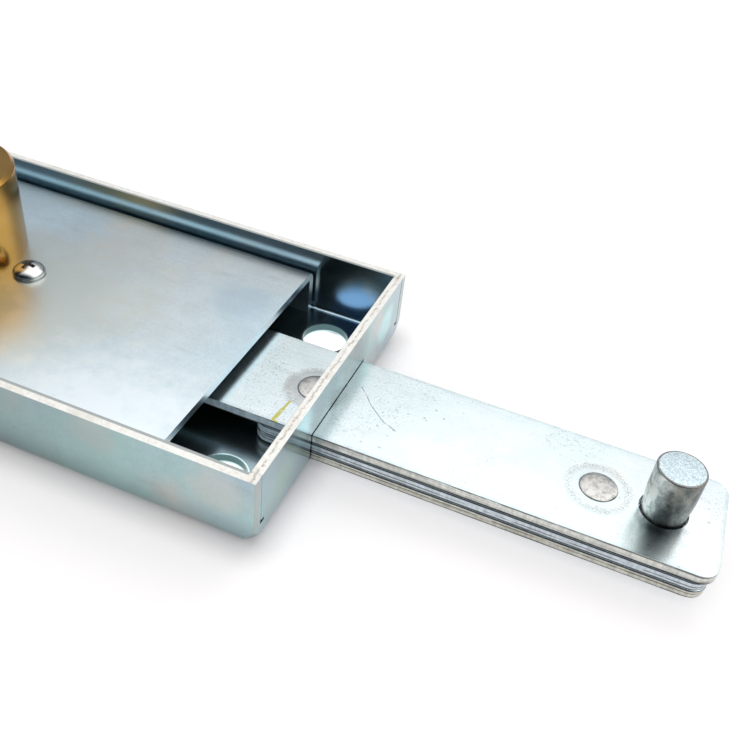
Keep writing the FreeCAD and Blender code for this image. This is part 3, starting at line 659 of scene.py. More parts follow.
    def sheared_edge(self, shader: Shader, point: Wire, normal: Wire, base: Wire,
                     rough: Wire) -> tuple[Wire, Wire, Wire]:
        """The sheet's cut rim: cream and grainy, with a broken dark line on the end walls where it tore.

        Args:
            shader: The node tree of the finish.
            point: The point on the piece, in metres.
            normal: The surface's direction.
            base: The colour so far.
            rough: The roughness so far.

        Returns:
            The colour, the roughness and the share of metal.
        """
        level = shader.axis(point, "Z")
        top = shader.step(level, self.edge_level - 0.40 * MM, self.edge_level - 0.2 * MM)
        rim = top * shader.step(shader.axis(normal, "Z"), 0.30, 0.60)
        flat = shader.step(shader.axis(normal, "Z"), 0.86, 0.98)
        grit = shader.noise(point, 1100.0, 4.0, 0.7)
        broad = shader.noise(point, 150.0, 3.0, 0.6)
        rim_colour = shader.ramp(grit, [(0.26, (0.68, 0.65, 0.60)), (0.38, (0.82, 0.80, 0.75)),
                                        (0.55, self.edge), (0.80, (0.95, 0.95, 0.93))])
        rim_colour = shader.mix(shader.step(broad, 0.54, 0.72) * 0.5, rim_colour, (0.70, 0.66, 0.58))
        rim_colour = shader.mix(flat, (0.76, 0.82, 0.84), rim_colour)
        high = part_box("case_tray")[1]
        inner = shader.step(shader.axis(point, "Y").size(), high.y - 1.15 * MM, high.y - 1.35 * MM)
        inner = inner * shader.step(shader.axis(point, "X").size(), high.x - 1.6 * MM, high.x - 2.0 * MM)
        rim_colour = shader.mix(inner * 0.85, rim_colour, (0.30, 0.34, 0.34))
        along = shader.axis(point, "X").size() - (high.x - 0.95 * MM)
        wander = (shader.noise(shader.stretched(point, (0.2, 1.0, 1.0)), 560.0, 5.0, 0.8) - 0.5) * (1.7 * MM)
        tear = shader.step((along + wander).size(), 0.30 * MM, 0.06 * MM)
        tear = tear * shader.step(shader.noise(point, 1700.0, 4.0, 0.75), 0.40, 0.56)
        rim_colour = shader.mix(tear * 0.62, rim_colour, (0.30, 0.25, 0.19))
        return shader.mix(rim, base, rim_colour), rough + rim * 0.25, 1.0 - rim * 0.7


@dataclass(frozen=True)
class BrassFinish:
    """Turned brass: fine rings on the end face, fine hoops on the side, and brown age in the hollows."""

    name: str = "turned_brass"
    gold: Colour = (0.44, 0.23, 0.05)
    pale: Colour = (0.52, 0.31, 0.09)
    brown: Colour = (0.36, 0.21, 0.07)

    def build(self) -> bpy.types.Material:
        """The finished material."""
        shader = Shader(self.name)
        point = shader.place()
        away, level = shader.off_axis(point), shader.axis(point, "Z")
        turned = shader.make("ShaderNodeCombineXYZ", None, {0: away, 1: level})
        rings = shader.noise(turned, 3800.0, 2.0, 0.6)
        cloud = shader.noise(point, 60.0, 3.0, 0.55)
        base = shader.mix(shader.step(cloud, 0.35, 0.7), self.gold, self.pale)
        aged = shader.step(shader.noise(point, 140.0, 4.0, 0.7), 0.60, 0.80)
        base = shader.mix(aged * 0.5, base, self.brown)
        rough = 0.24 + (cloud - 0.5) * 0.12
        height = rings * 0.7 + shader.noise(point, 2400.0) * 0.3
        return shader.metal(base, rough, shader.bump(height, 0.00002, 0.5))


@dataclass(frozen=True)
class PinFinish:
    """The connecting pin: a mottled side with painted light on its left and painted shade on its right, and a
    pale, fine-grained end face.
    """

    name: str
    place: float
    radius: float
    end_face: Colour = (0.46, 0.56, 0.60)
    side_dark: Colour = (0.10, 0.12, 0.125)
    side_grey: Colour = (0.28, 0.31, 0.30)
    side_pale: Colour = (0.52, 0.54, 0.49)
    side_brown: Colour = (0.46, 0.40, 0.30)

    def build(self) -> bpy.types.Material:
        """The finished material."""
        shader = Shader(self.name)
        point = shader.place()
        normal = shader.normal()
        top = shader.step(shader.axis(normal, "Z"), 0.5, 0.85)
        mottle = shader.noise(shader.stretched(point, (1.0, 1.0, 0.7)), 480.0, 6.0, 0.65)
        side = shader.ramp(mottle, [(0.34, self.side_dark), (0.48, self.side_grey), (0.60, self.side_pale),
                                    (0.74, self.side_brown)])
        # Painted light and shade: the side lighter to the left and darker to the right.
        lit = shader.step(shader.axis(normal, "X"), 0.05, -0.75, 0.50, 2.2)
        side = shader.shaded(side, lit)
        specks = shader.noise(point, 4200.0, 2.0, 0.6)
        pores = shader.noise(point, 1500.0, 3.0, 0.7)
        face = shader.mix(shader.step(specks, 0.44, 0.60), self.end_face, (0.70, 0.78, 0.81))
        face = shader.mix(shader.step(pores, 0.54, 0.66) * 0.55, face, (0.28, 0.35, 0.38))
        base = shader.mix(top, side, face)
        away = shader.off_axis(point, self.place)
        rim = shader.step((away - (self.radius - 0.20 * MM)).size(), 0.24 * MM, 0.10 * MM)
        upward = shader.step(shader.axis(normal, "Z"), 0.10, 0.30)
        rim = rim * upward * shader.step(mottle, 0.30, 0.50, 0.35, 1.0)
        base = shader.mix(rim * 0.8, base, (0.12, 0.09, 0.07))
        rough = 0.36 + top * 0.10 + (mottle - 0.5) * 0.2
        return shader.metal(base, rough, shader.bump(specks * 0.5 + mottle * 0.5, 0.00004, 0.8))


@dataclass(frozen=True)
class SteelFinish:
    """Plain turned or drawn steel."""

    name: str
    tone: Colour
    rough: float
    dirt: Colour = (0.12, 0.12, 0.11)
    mottle: float = 0.0

    def build(self) -> bpy.types.Material:
        """The finished material."""
        shader = Shader(self.name)
        point = shader.place()
        grain = shader.noise(point, 1800.0, 3.0, 0.6)
        patch = shader.noise(point, 190.0, 4.0, 0.6)
        base = shader.mix(shader.step(patch, 0.56, 0.78) * 0.6, self.tone, self.dirt)
        fine = shader.noise(shader.moved(point, (0.07, 0.0, 0.0)), 1300.0, 4.0, 0.7)
        base = shader.mix(shader.step(fine, 0.48, 0.60) * self.mottle, base, self.dirt)
        rough = self.rough + (patch - 0.5) * 0.18
        return shader.metal(base, rough, shader.bump(grain, 0.00002, 0.5))


# Meshes

def new_piece(name: str, mesh: bpy.types.Mesh) -> bpy.types.Object:
    """An object at the origin that shows a mesh.

    Args:
        name: The name.
        mesh: The mesh that it shows.

    Returns:
        The object.
    """
    piece = bpy.data.objects.new(name, mesh)
    bpy.context.scene.collection.objects.link(piece)
    return piece


def baked(name: str, source: bpy.types.Object) -> bpy.types.Object:
    """A plain copy of an object with its modifiers applied; the source is removed.

    Args:
        name: The name.
        source: The object with its modifiers.

    Returns:
        The plain piece.
    """
    graph = bpy.context.evaluated_depsgraph_get()
    mesh = bpy.data.meshes.new_from_object(source.evaluated_get(graph))
    mesh.name = name
    bpy.data.objects.remove(source, do_unlink=True)
    return new_piece(name, mesh)


def softened(node: str, width: float, segments: int = 2, angle: float = 32.0,
             share: Callable[[Vector], float] | None = None) -> bpy.types.Object:
    """A copy of a CAD node whose sharp edges are rounded.

    Args:
        node: The CAD node.
        width: The rounding's width in millimetres.
        segments: Faces across each rounding.
        angle: Smallest bend that counts as an edge, in degrees.
        share: The part of the width that an edge gets, by its middle point.

    Returns:
        The new piece, smooth shaded, at the origin.
    """
    work = bmesh.new()
    work.from_mesh(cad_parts[node].data)
    bmesh.ops.remove_doubles(work, verts=work.verts, dist=0.002 * MM)
    bmesh.ops.dissolve_limit(work, angle_limit=math.radians(0.4), verts=work.verts, edges=work.edges)
    weights = work.edges.layers.float.new("bevel_weight_edge")
    for edge in work.edges:
        if len(edge.link_faces) == 2 and edge.calc_face_angle() > math.radians(angle):
            middle = (edge.verts[0].co + edge.verts[1].co) / 2
            edge[weights] = share(middle) if share else 1.0
    mesh = bpy.data.meshes.new(node + "_soft")
    work.to_mesh(mesh)
    work.free()
    source = new_piece(node + "_source", mesh)
    smooth(source, angle)
    bevel = source.modifiers.new("rounding", "BEVEL")
    bevel.width = width * MM
    bevel.segments = segments
    bevel.limit_method = "WEIGHT"
    bevel.use_clamp_overlap = True
    level = source.modifiers.new("flat_faces", "WEIGHTED_NORMAL")
    level.mode = "FACE_AREA"
    level.weight = 100
    level.keep_sharp = True
    return baked(node + "_shown", source)


def smooth(piece: bpy.types.Object, angle: float) -> None:
    """Shades a piece smooth, but for edges sharper than an angle in degrees.

    Args:
        piece: The piece.
        angle: The smallest bend that stays sharp, in degrees.
    """
    mesh = piece.data
    mesh.polygons.foreach_set("use_smooth", [True] * len(mesh.polygons))
    mesh.set_sharp_from_angle(angle=math.radians(angle))


def lathe(name: str, profile: list[tuple[float, float]], turns: int = 96) -> bpy.types.Object:
    """A closed piece turned about the Z axis.

    Args:
        name: The piece's name.
        profile: (radius, level) points in metres from the low pole to the high pole.
        turns: Faces round the axis.

    Returns:
        The new piece.
    """
    work = bmesh.new()
    rows = []
    for radius, level in profile:
        if radius < 1e-9:
            rows.append([work.verts.new((0.0, 0.0, level))])
            continue
        steps = [2 * math.pi * k / turns for k in range(turns)]
        rows.append([work.verts.new((radius * math.cos(a), radius * math.sin(a), level)) for a in steps])
    for low, high in zip(rows, rows[1:]):
        for k in range(turns):
            after = (k + 1) % turns
            ring = [low[k % len(low)], low[after % len(low)], high[after % len(high)], high[k % len(high)]]
            unique = list(dict.fromkeys(ring))
            if len(unique) > 2:
                work.faces.new(unique)
    bmesh.ops.recalc_face_normals(work, faces=work.faces)
    mesh = bpy.data.meshes.new(name)
    work.to_mesh(mesh)
    work.free()
    piece = new_piece(name, mesh)
    smooth(piece, 34.0)
    return piece


def rounded_corner(radius: float, level: float, bend: float, steps: int = 6) -> list[tuple[float, float]]:
    """Profile points round an outer top corner, from its side to its top.

    Args:
        radius: The radius, in metres.
        level: The level of the top.
        bend: The rounding's radius.
        steps: Faces round the bend.

    Returns:
        (radius, level) points.
    """
    points = []
    for k in range(steps + 1):
        angle = math.pi / 2 * k / steps
        points.append((radius - bend + bend * math.cos(angle), level - bend + bend * math.sin(angle)))
    return points


class FastenerRow:
    """Geometry nodes that set copies of one fastener in a row."""

    def __init__(self) -> None:
        """Builds the tree once."""
        tree = bpy.data.node_groups.new("fastener_row", "GeometryNodeTree")
        face = tree.interface
        face.new_socket(name="Geometry", in_out="OUTPUT", socket_type="NodeSocketGeometry")
        kinds = {"Fastener": "NodeSocketObject", "Count": "NodeSocketInt", "First Place": "NodeSocketVector",
                 "Step": "NodeSocketVector", "Finish": "NodeSocketMaterial"}
        self.keys = {name: face.new_socket(name=name, in_out="INPUT", socket_type=kind).identifier
                     for name, kind in kinds.items()}
        given = tree.nodes.new("NodeGroupInput")
        result = tree.nodes.new("NodeGroupOutput")
        line = tree.nodes.new("GeometryNodeMeshLine")
        fastener = tree.nodes.new("GeometryNodeObjectInfo")
        copies = tree.nodes.new("GeometryNodeInstanceOnPoints")
        real = tree.nodes.new("GeometryNodeRealizeInstances")
        dress = tree.nodes.new("GeometryNodeSetMaterial")
        links = [(given.outputs["Count"], line.inputs["Count"]),
                 (given.outputs["First Place"], line.inputs["Start Location"]),
                 (given.outputs["Step"], line.inputs["Offset"]),
                 (given.outputs["Fastener"], fastener.inputs["Object"]),
                 (line.outputs["Mesh"], copies.inputs["Points"]),
                 (fastener.outputs["Geometry"], copies.inputs["Instance"]),
                 (copies.outputs["Instances"], real.inputs["Geometry"]),
                 (real.outputs["Geometry"], dress.inputs["Geometry"]),
                 (given.outputs["Finish"], dress.inputs["Material"]),
                 (dress.outputs["Geometry"], result.inputs["Geometry"])]
        for start, end in links:
            tree.links.new(start, end)
        self.tree = tree

    def build(self, name: str, fastener: bpy.types.Object, places: list[Vector],
              finish: bpy.types.Material) -> bpy.types.Object:
        """Sets a fastener at evenly spaced places and bakes the row; the pattern piece is removed.

        Args:
            name: The row's name.
            fastener: The piece that is copied.
            places: Where the copies go, in a line.
            finish: Their material.

        Returns:
            One plain mesh piece.
        """
        source = new_piece(name + "_source", bpy.data.meshes.new(name + "_source"))
        row = source.modifiers.new("row", "NODES")
        row.node_group = self.tree
        step = places[1] - places[0] if len(places) > 1 else Vector((0.0, 0.0, 0.0))
        row[self.keys["Fastener"]] = fastener
        row[self.keys["Count"]] = len(places)
        row[self.keys["First Place"]] = tuple(places[0])
        row[self.keys["Step"]] = tuple(step)
        row[self.keys["Finish"]] = finish
        piece = baked(name, source)
        bpy.data.objects.remove(fastener, do_unlink=True)
        return piece


def settle(piece: bpy.types.Object, body: str, node: str,
           finish: bpy.types.Material | None = None) -> None:
    """Sets a piece on its body, lets it stand for its CAD node and dresses it, unless its row has done so.

    Args:
        piece: The piece.
        body: The body it rides on.
        node: The CAD node.
        finish: Its material, or None where its row has set one.
    """
    if finish is not None:
        piece.data.materials.clear()
        piece.data.materials.append(finish)
    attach(piece, body)
    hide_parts(node)
    log.info("%s on %s, %d faces", piece.name, body, len(piece.data.polygons))


def dress(node: str, finish: bpy.types.Material) -> None:
    """Gives a CAD node that stays its material.

    Args:
        node: The CAD node.
        finish: The material.
    """
    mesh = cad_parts[node].data
    mesh.materials.clear()
    mesh.materials.append(finish)


# Sub-assemblies

@dataclass
class FoldedCase:
    """The folded tray and its inset cover.

    The places of the stained patches and of the painted light, and all lengths, are in millimetres. The
    seam's strip runs across from seam_near to seam_far, and stays seam_sunk below the surface.
    """

    rounding: float = 0.42
    cover_rounding: float = 1.15
    inner_share: float = 0.35
    cover_share: float = 0.2
    seam_near: float = 28.85
    seam_far: float = 29.25
    seam_sunk: float = 0.05
    seam_depth: float = 1.7
    seam_foot: float = 5.2
    case_stains: tuple[StainOrLightPatch, ...] = (
        StainOrLightPatch((75.8, -31.0, 10.5), 6.5, (0.60, 0.54, 0.49), 0.40),
        StainOrLightPatch((54.2, -31.0, 13.0), 6.0, (0.52, 0.49, 0.46), 0.30),
        StainOrLightPatch((82.5, -22.0, 7.0), 5.0, (0.40, 0.56, 0.46), 0.6),
        StainOrLightPatch((82.5, -14.0, 12.5), 5.0, (0.52, 0.76, 0.80), 0.4),
        StainOrLightPatch((82.5, 4.0, 13.0), 6.0, (0.50, 0.48, 0.44), 0.5),
        StainOrLightPatch((82.5, 22.0, 9.0), 5.0, (0.52, 0.84, 0.84), 0.7),
        StainOrLightPatch((82.5, 17.0, 12.0), 4.0, (0.66, 0.54, 0.54), 0.5))
    # Stained patches of the cover, and one patch of painted light.
    cover_stain_and_light_patches: tuple[StainOrLightPatch, ...] = (
        StainOrLightPatch((22.0, -6.0, 11.3), 30.0, (0.56, 0.59, 0.555), 0.8),
        StainOrLightPatch((15.0, -13.0, 11.3), 12.0, (0.36, 0.43, 0.50), 0.75),
        # Painted light: the cover lighter towards its front right corner.
        StainOrLightPatch((52.0, -34.0, 11.3), 30.0, (0.76, 0.82, 0.85), 0.85),
        StainOrLightPatch((56.4, 12.1, 11.3), 8.0, (0.42, 0.54, 0.64), 0.5),
        StainOrLightPatch((28.0, 18.0, 11.3), 11.0, (0.66, 0.62, 0.56), 0.35),
        StainOrLightPatch((40.0, 2.0, 11.3), 10.0, (0.66, 0.66, 0.61), 0.35))

    def build(self) -> None:
        """Builds and dresses both sheets."""
        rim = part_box("case_tray")[1].z
        case = ZincFinish("case_zinc", tint=(0.37, 0.47, 0.53), cloud=(0.38, 0.56, 0.54),
                          warm=(0.50, 0.50, 0.47), rough=0.20, tint_spread=0.8, edge_level=rim,
                          worn_and_shaded_walls=True, stain_and_light_patches=self.case_stains, pitted=0.2)
        cover = ZincFinish("cover_zinc", tint=(0.61, 0.68, 0.70), cloud=(0.55, 0.68, 0.75),
                           warm=(0.69, 0.67, 0.61), rough=0.30, streaks=0.03, tint_spread=0.8, grain=0.34,
                           stain_and_light_patches=self.cover_stain_and_light_patches, pitted=0.22)
        tray = softened("case_tray", self.rounding, 3,
                        share=lambda middle: 1.0 if middle.z > rim - NEAR else self.inner_share)
        self.fill_seams(tray.data, rim)
        settle(tray, "root", "case_tray", case.build())
        end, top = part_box("cover_plate")[1].x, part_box("cover_plate")[1].z

        def share(middle: Vector) -> float:
            """The cover's sheared top edges roll over further than its other edges."""
            return 1.0 if abs(abs(middle.x) - end) < NEAR and abs(middle.z - top) < NEAR else self.cover_share

        sheet = softened("cover_plate", self.cover_rounding, 6, share=share)
        settle(sheet, "root", "cover_plate", cover.build())

    def fill_seams(self, mesh: bpy.types.Mesh, rim: float) -> None:
        """Closes the corner seams a little below the surface, where the walls all but touch.

        Args:
            mesh: The tray's mesh, which is added to.
            rim: The level of the walls' cut rim, in metres.
        """
        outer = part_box("case_tray")[1].x
        low = Vector((outer - self.seam_depth * MM, self.seam_near * MM, self.seam_foot * MM))
        high = Vector((outer - self.seam_sunk * MM, self.seam_far * MM, rim - self.seam_sunk * MM))
        centre = (low + high) / 2
        work = bmesh.new()
        work.from_mesh(mesh)
        for way in (-1.0, 1.0):
            for side in (-1.0, 1.0):
                place = Matrix.Translation((centre.x * way, centre.y * side, centre.z))
                bmesh.ops.create_cube(work, size=1.0, matrix=place @ Matrix.Diagonal((*(high - low), 1.0)))
        work.to_mesh(mesh)
        work.free()


@dataclass
class CoverScrews:
    """Pan head screws with a cross recess.

    The reach, the width, the shank and the seat are shares of the head's radius, and the recess's depth and
    the rim shares of its height.
    """

    recess_reach: float = 0.56
    recess_width: float = 0.28
    recess_depth: float = 0.85
    recess_taper: tuple[float, float] = (0.45, 1.05)
    shank_share: float = 0.5
    seat_share: float = 0.96
    rim_share: float = 0.12
    steps: int = 14

    def head(self, radius: float, low: float, seat: float, top: float, shank: float) -> bpy.types.Object:
        """One screw, turned with a domed head and cut with a tapered cross.

        Args:
            radius: The radius, in metres.
            low: The shank's foot.
            seat: The head's seat.
            top: The level of its top.
            shank: The shank's radius.

        Returns:
            The screw.
        """
        profile = [(0.0, low), (shank, low), (shank, seat), (radius * self.seat_share, seat)]
        rise = top - seat
        for k in range(self.steps + 1):
            angle = math.pi / 2 * k / self.steps
            share = self.rim_share + (1.0 - self.rim_share) * math.sin(angle)
            profile.append((radius * math.cos(angle), seat + rise * share))
        profile[-1] = (0.0, top)
        screw = lathe("cover_screw", profile)
        depth = rise * self.recess_depth
        cross = self.cross(radius * self.recess_reach, radius * self.recess_width, top, depth)
        carve = screw.modifiers.new("recess", "BOOLEAN")
        carve.object = cross
        carve.solver = "EXACT"
        screw = baked("cover_screw_cut", screw)
        bpy.data.objects.remove(cross, do_unlink=True)
        smooth(screw, 30.0)
        return screw

    def cross(self, reach: float, width: float, top: float, depth: float) -> bpy.types.Object:
        """A cross that narrows as it goes down.

        Args:
            reach: From the middle to an arm's end.
            width: An arm's width.
            top: The level of the screw's top.
            depth: How deep it goes.

        Returns:
            The cutting piece.
        """
        half = width / 2
        upper = [(reach, half), (half, half), (half, reach), (-half, reach), (-half, half), (-reach, half)]
        corners = upper + [(-x, -y) for x, y in upper]
        work = bmesh.new()
        rings = []
        for level, share in zip((top - depth, top + depth * 0.2), self.recess_taper):
            rings.append([work.verts.new((*(v * share if abs(v) > half else v for v in corner), level))
                          for corner in corners])
        count = len(corners)
        for k in range(count):
            work.faces.new([rings[0][k], rings[0][(k + 1) % count], rings[1][(k + 1) % count], rings[1][k]])
        work.faces.new(rings[0][::-1])
        work.faces.new(rings[1])
        bmesh.ops.recalc_face_normals(work, faces=work.faces)
        mesh = bpy.data.meshes.new("cross")
        work.to_mesh(mesh)
        work.free()
        return new_piece("cross", mesh)

    def build(self, row: FastenerRow) -> None:
        """Builds both screws where the frame has them.

        Args:
            row: What sets the copies in a row.
        """
        low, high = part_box("cover_screws")
        radius = (high.y - low.y) / 2
        offset = high.x - radius
        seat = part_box("cover_plate")[1].z
        shank = radius * self.shank_share
        screw = self.head(radius, low.z, seat, high.z, shank)
        finish = SteelFinish("screw_steel", (0.58, 0.58, 0.57), 0.2).build()
        places = [Vector((-offset, 0.0, 0.0)), Vector((offset, 0.0, 0.0))]
        screws = row.build("cover_screw_heads", screw, places, finish)
        settle(screws, "root", "cover_screws")


@dataclass
class Cylinder:
    """The brass cylinder, its plug and what the cover hides. Roundings are in millimetres."""

    rounding: float = 0.25
    plug_rounding: float = 0.1

    def build(self) -> None:
        """Builds the shown brass and dresses the rest."""
        brass = BrassFinish().build()
        steel = SteelFinish("turned_steel", (0.46, 0.47, 0.47), 0.3).build()
        spring = SteelFinish("spring_steel", (0.32, 0.32, 0.33), 0.28).build()
        settle(softened("cylinder_barrel", self.rounding), "root", "cylinder_barrel", brass)
        settle(softened("cylinder_plug", self.plug_rounding), "plug", "cylinder_plug", brass)
        for node in ("key_pins", "driver_pins", "chamber_caps", "pinion_bush"):
            dress(node, brass)
        for node in ("cylinder_nut", "drive_spindle", "pinion", "cover_posts", "guide_rivets"):
            dress(node, steel)
        for node in ("pin_springs", "plug_clip"):
            dress(node, spring)
        guide = ZincFinish("guide_zinc", tint=(0.50, 0.56, 0.60), cloud=(0.44, 0.52, 0.52),
                           warm=(0.5, 0.48, 0.44)).build()
        for side in Side:
            dress(side.word + "_bolt_guide", guide)


@dataclass
class Bolt:
    """One laminated bolt with its rivets and connecting pin.

    Roundings, the pin's neck and its taper are in millimetres. The pin's waist and shank are shares of its
    radius, and the rivets' rim is a share of their rise.
    """

    side: Side
    plate_rounding: float = 0.40
    pin_rounding: float = 0.3
    pin_waist: float = 0.925
    pin_shank: float = 0.8
    pin_neck: float = 0.6
    pin_taper: float = 0.42
    rivet_rim: float = 0.15
    # Radius of the painted reflection of the pin on the bolt's top, in millimetres.
    pin_reflection: float = 4.2

    def node(self, name: str) -> str:
        """Full node name of one of this bolt's pieces."""
        return "%s_bolt_%s" % (self.side.word, name)

    @property
    def body(self) -> str:
        """The body that the whole bolt rides on."""
        return self.side.word + "_bolt"

    def plates(self) -> None:
        """The three laminations with their rounded sheared edges."""
        rivet_low, rivet_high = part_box(self.node("rivets"))
        radius = (rivet_high.y - rivet_low.y) / 2
        marks = ((rivet_low.x + radius) / MM, 0.0), ((rivet_high.x - radius) / MM, 0.0)
        top_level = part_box(self.node("top_plate"))[1].z / MM
        strokes: tuple[Stroke, ...] = ()
        pen: tuple[Stroke, ...] = ()
        pin_low, pin_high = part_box(self.node("pin"))
        # Painted reflection and shade: the pin's dark reflection on the bolt's top, just in front of its
        # foot.
        before_pin = ((pin_low.x + pin_high.x) / 2 / MM, -3.2, top_level)
        foot = (StainOrLightPatch(before_pin, self.pin_reflection, (0.11, 0.13, 0.15), 0.80),)
        if self.side is Side.RIGHT:
            strokes, pen = self.marks_of_use(top_level)
        finish = ZincFinish(self.side.word + "_bolt_zinc", tint=(0.66, 0.72, 0.75), cloud=(0.58, 0.69, 0.70),
                            warm=(0.73, 0.71, 0.67), rough=0.22, grain=0.20, sides=True, streaks=0.05,
                            scratches=strokes, pen=pen, press_marks=marks, stain_and_light_patches=foot).build()
        for name in ("top_plate", "middle_plate", "bottom_plate"):
            node = self.node(name)
            settle(softened(node, self.plate_rounding), self.body, node, finish)

    def marks_of_use(self, level: float) -> tuple[tuple[Stroke, ...], tuple[Stroke, ...]]:
        """The scratch beside the case's wall and the pen stroke inside it.

        Args:
            level: The level of the bolt's top face, in millimetres.

        Returns:
            The strokes of the scratch and those of the pen.
        """
        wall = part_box("case_tray")[1].x / MM
        points = [(wall + 2.6, 4.2), (wall + 4.2, 2.6), (wall + 6.0, 0.4), (wall + 7.7, -1.0),
                  (wall + 9.4, -2.4), (wall + 12.1, -3.5)]
        scratch = tuple(Stroke((*a, level), (*b, level), 0.20) for a, b in zip(points, points[1:]))
        pen = (Stroke((wall - 6.9, -5.2, level), (wall - 7.1, -7.6, level), 0.5),
               Stroke((wall - 7.1, -7.6, level), (wall - 7.35, -10.6, level), 0.85),
               Stroke((wall - 7.35, -10.6, level), (wall - 6.6, -10.9, level), 0.5))
        return scratch, pen

    def rivets(self, row: FastenerRow) -> None:
        """The two clenched rivets, each a low dome inside a turned rim.

        Args:
            row: What sets the copies in a row.
        """
        low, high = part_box(self.node("rivets"))
        radius = (high.y - low.y) / 2
        plate_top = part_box(self.node("top_plate"))[1].z
        rise = high.z - plate_top
        profile = [(0.0, low.z), (radius, low.z), (radius, plate_top + rise * self.rivet_rim)]
        for k in range(1, 9):
            angle = math.pi / 2 * k / 8
            level = plate_top + rise * (self.rivet_rim + (1.0 - self.rivet_rim) * math.sin(angle))
            profile.append((radius * math.cos(angle) ** 0.7, level))
        profile[-1] = (0.0, high.z)
        rivet = lathe("rivet", profile, 64)
        finish = SteelFinish("%s_rivet_zinc" % self.side.word, (0.55, 0.54, 0.52), 0.36, (0.20, 0.185, 0.17),
                             0.5).build()
        places = [Vector((x, 0.0, 0.0)) for x in (low.x + radius, high.x - radius)]
        rivets = row.build(self.side.word + "_bolt_rivets_shown", rivet, places, finish)
        settle(rivets, self.body, self.node("rivets"))

    def pin(self, row: FastenerRow) -> None:
        """The connecting pin with its waist, rim line and rounded end.

        Args:
            row: What sets the copies in a row.
        """
        low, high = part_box(self.node("pin"))
        radius = (high.y - low.y) / 2
        plate_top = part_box(self.node("top_plate"))[1].z
        waist = radius * self.pin_waist
        shank = radius * self.pin_shank
        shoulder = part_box(self.node("middle_plate"))[1].z
        bend = self.pin_rounding * MM
        neck = plate_top + self.pin_neck * MM
        profile = [(0.0, low.z), (shank, low.z), (shank, shoulder), (waist, shoulder), (waist, neck)]
        for k in range(1, 11):
            out = (radius - waist) * math.sin(math.pi / 2 * k / 10)
            profile.append((waist + out, neck + (0.2 + self.pin_taper * k) * MM))
        profile += rounded_corner(radius, high.z, bend) + [(0.0, high.z)]
        pin = lathe("connecting_pin", profile, 128)
        centre = Vector(((low.x + high.x) / 2, 0.0, 0.0))
        placed = row.build(self.side.word + "_bolt_pin_shown", pin, [centre],
                           PinFinish(self.side.word + "_pin_steel", centre.x, radius).build())
        settle(placed, self.body, self.node("pin"))

    def build(self, row: FastenerRow) -> None:
        """Builds the whole bolt.

        Args:
            row: What sets the copies in a row.
        """
        self.plates()
        self.rivets(row)
        self.pin(row)


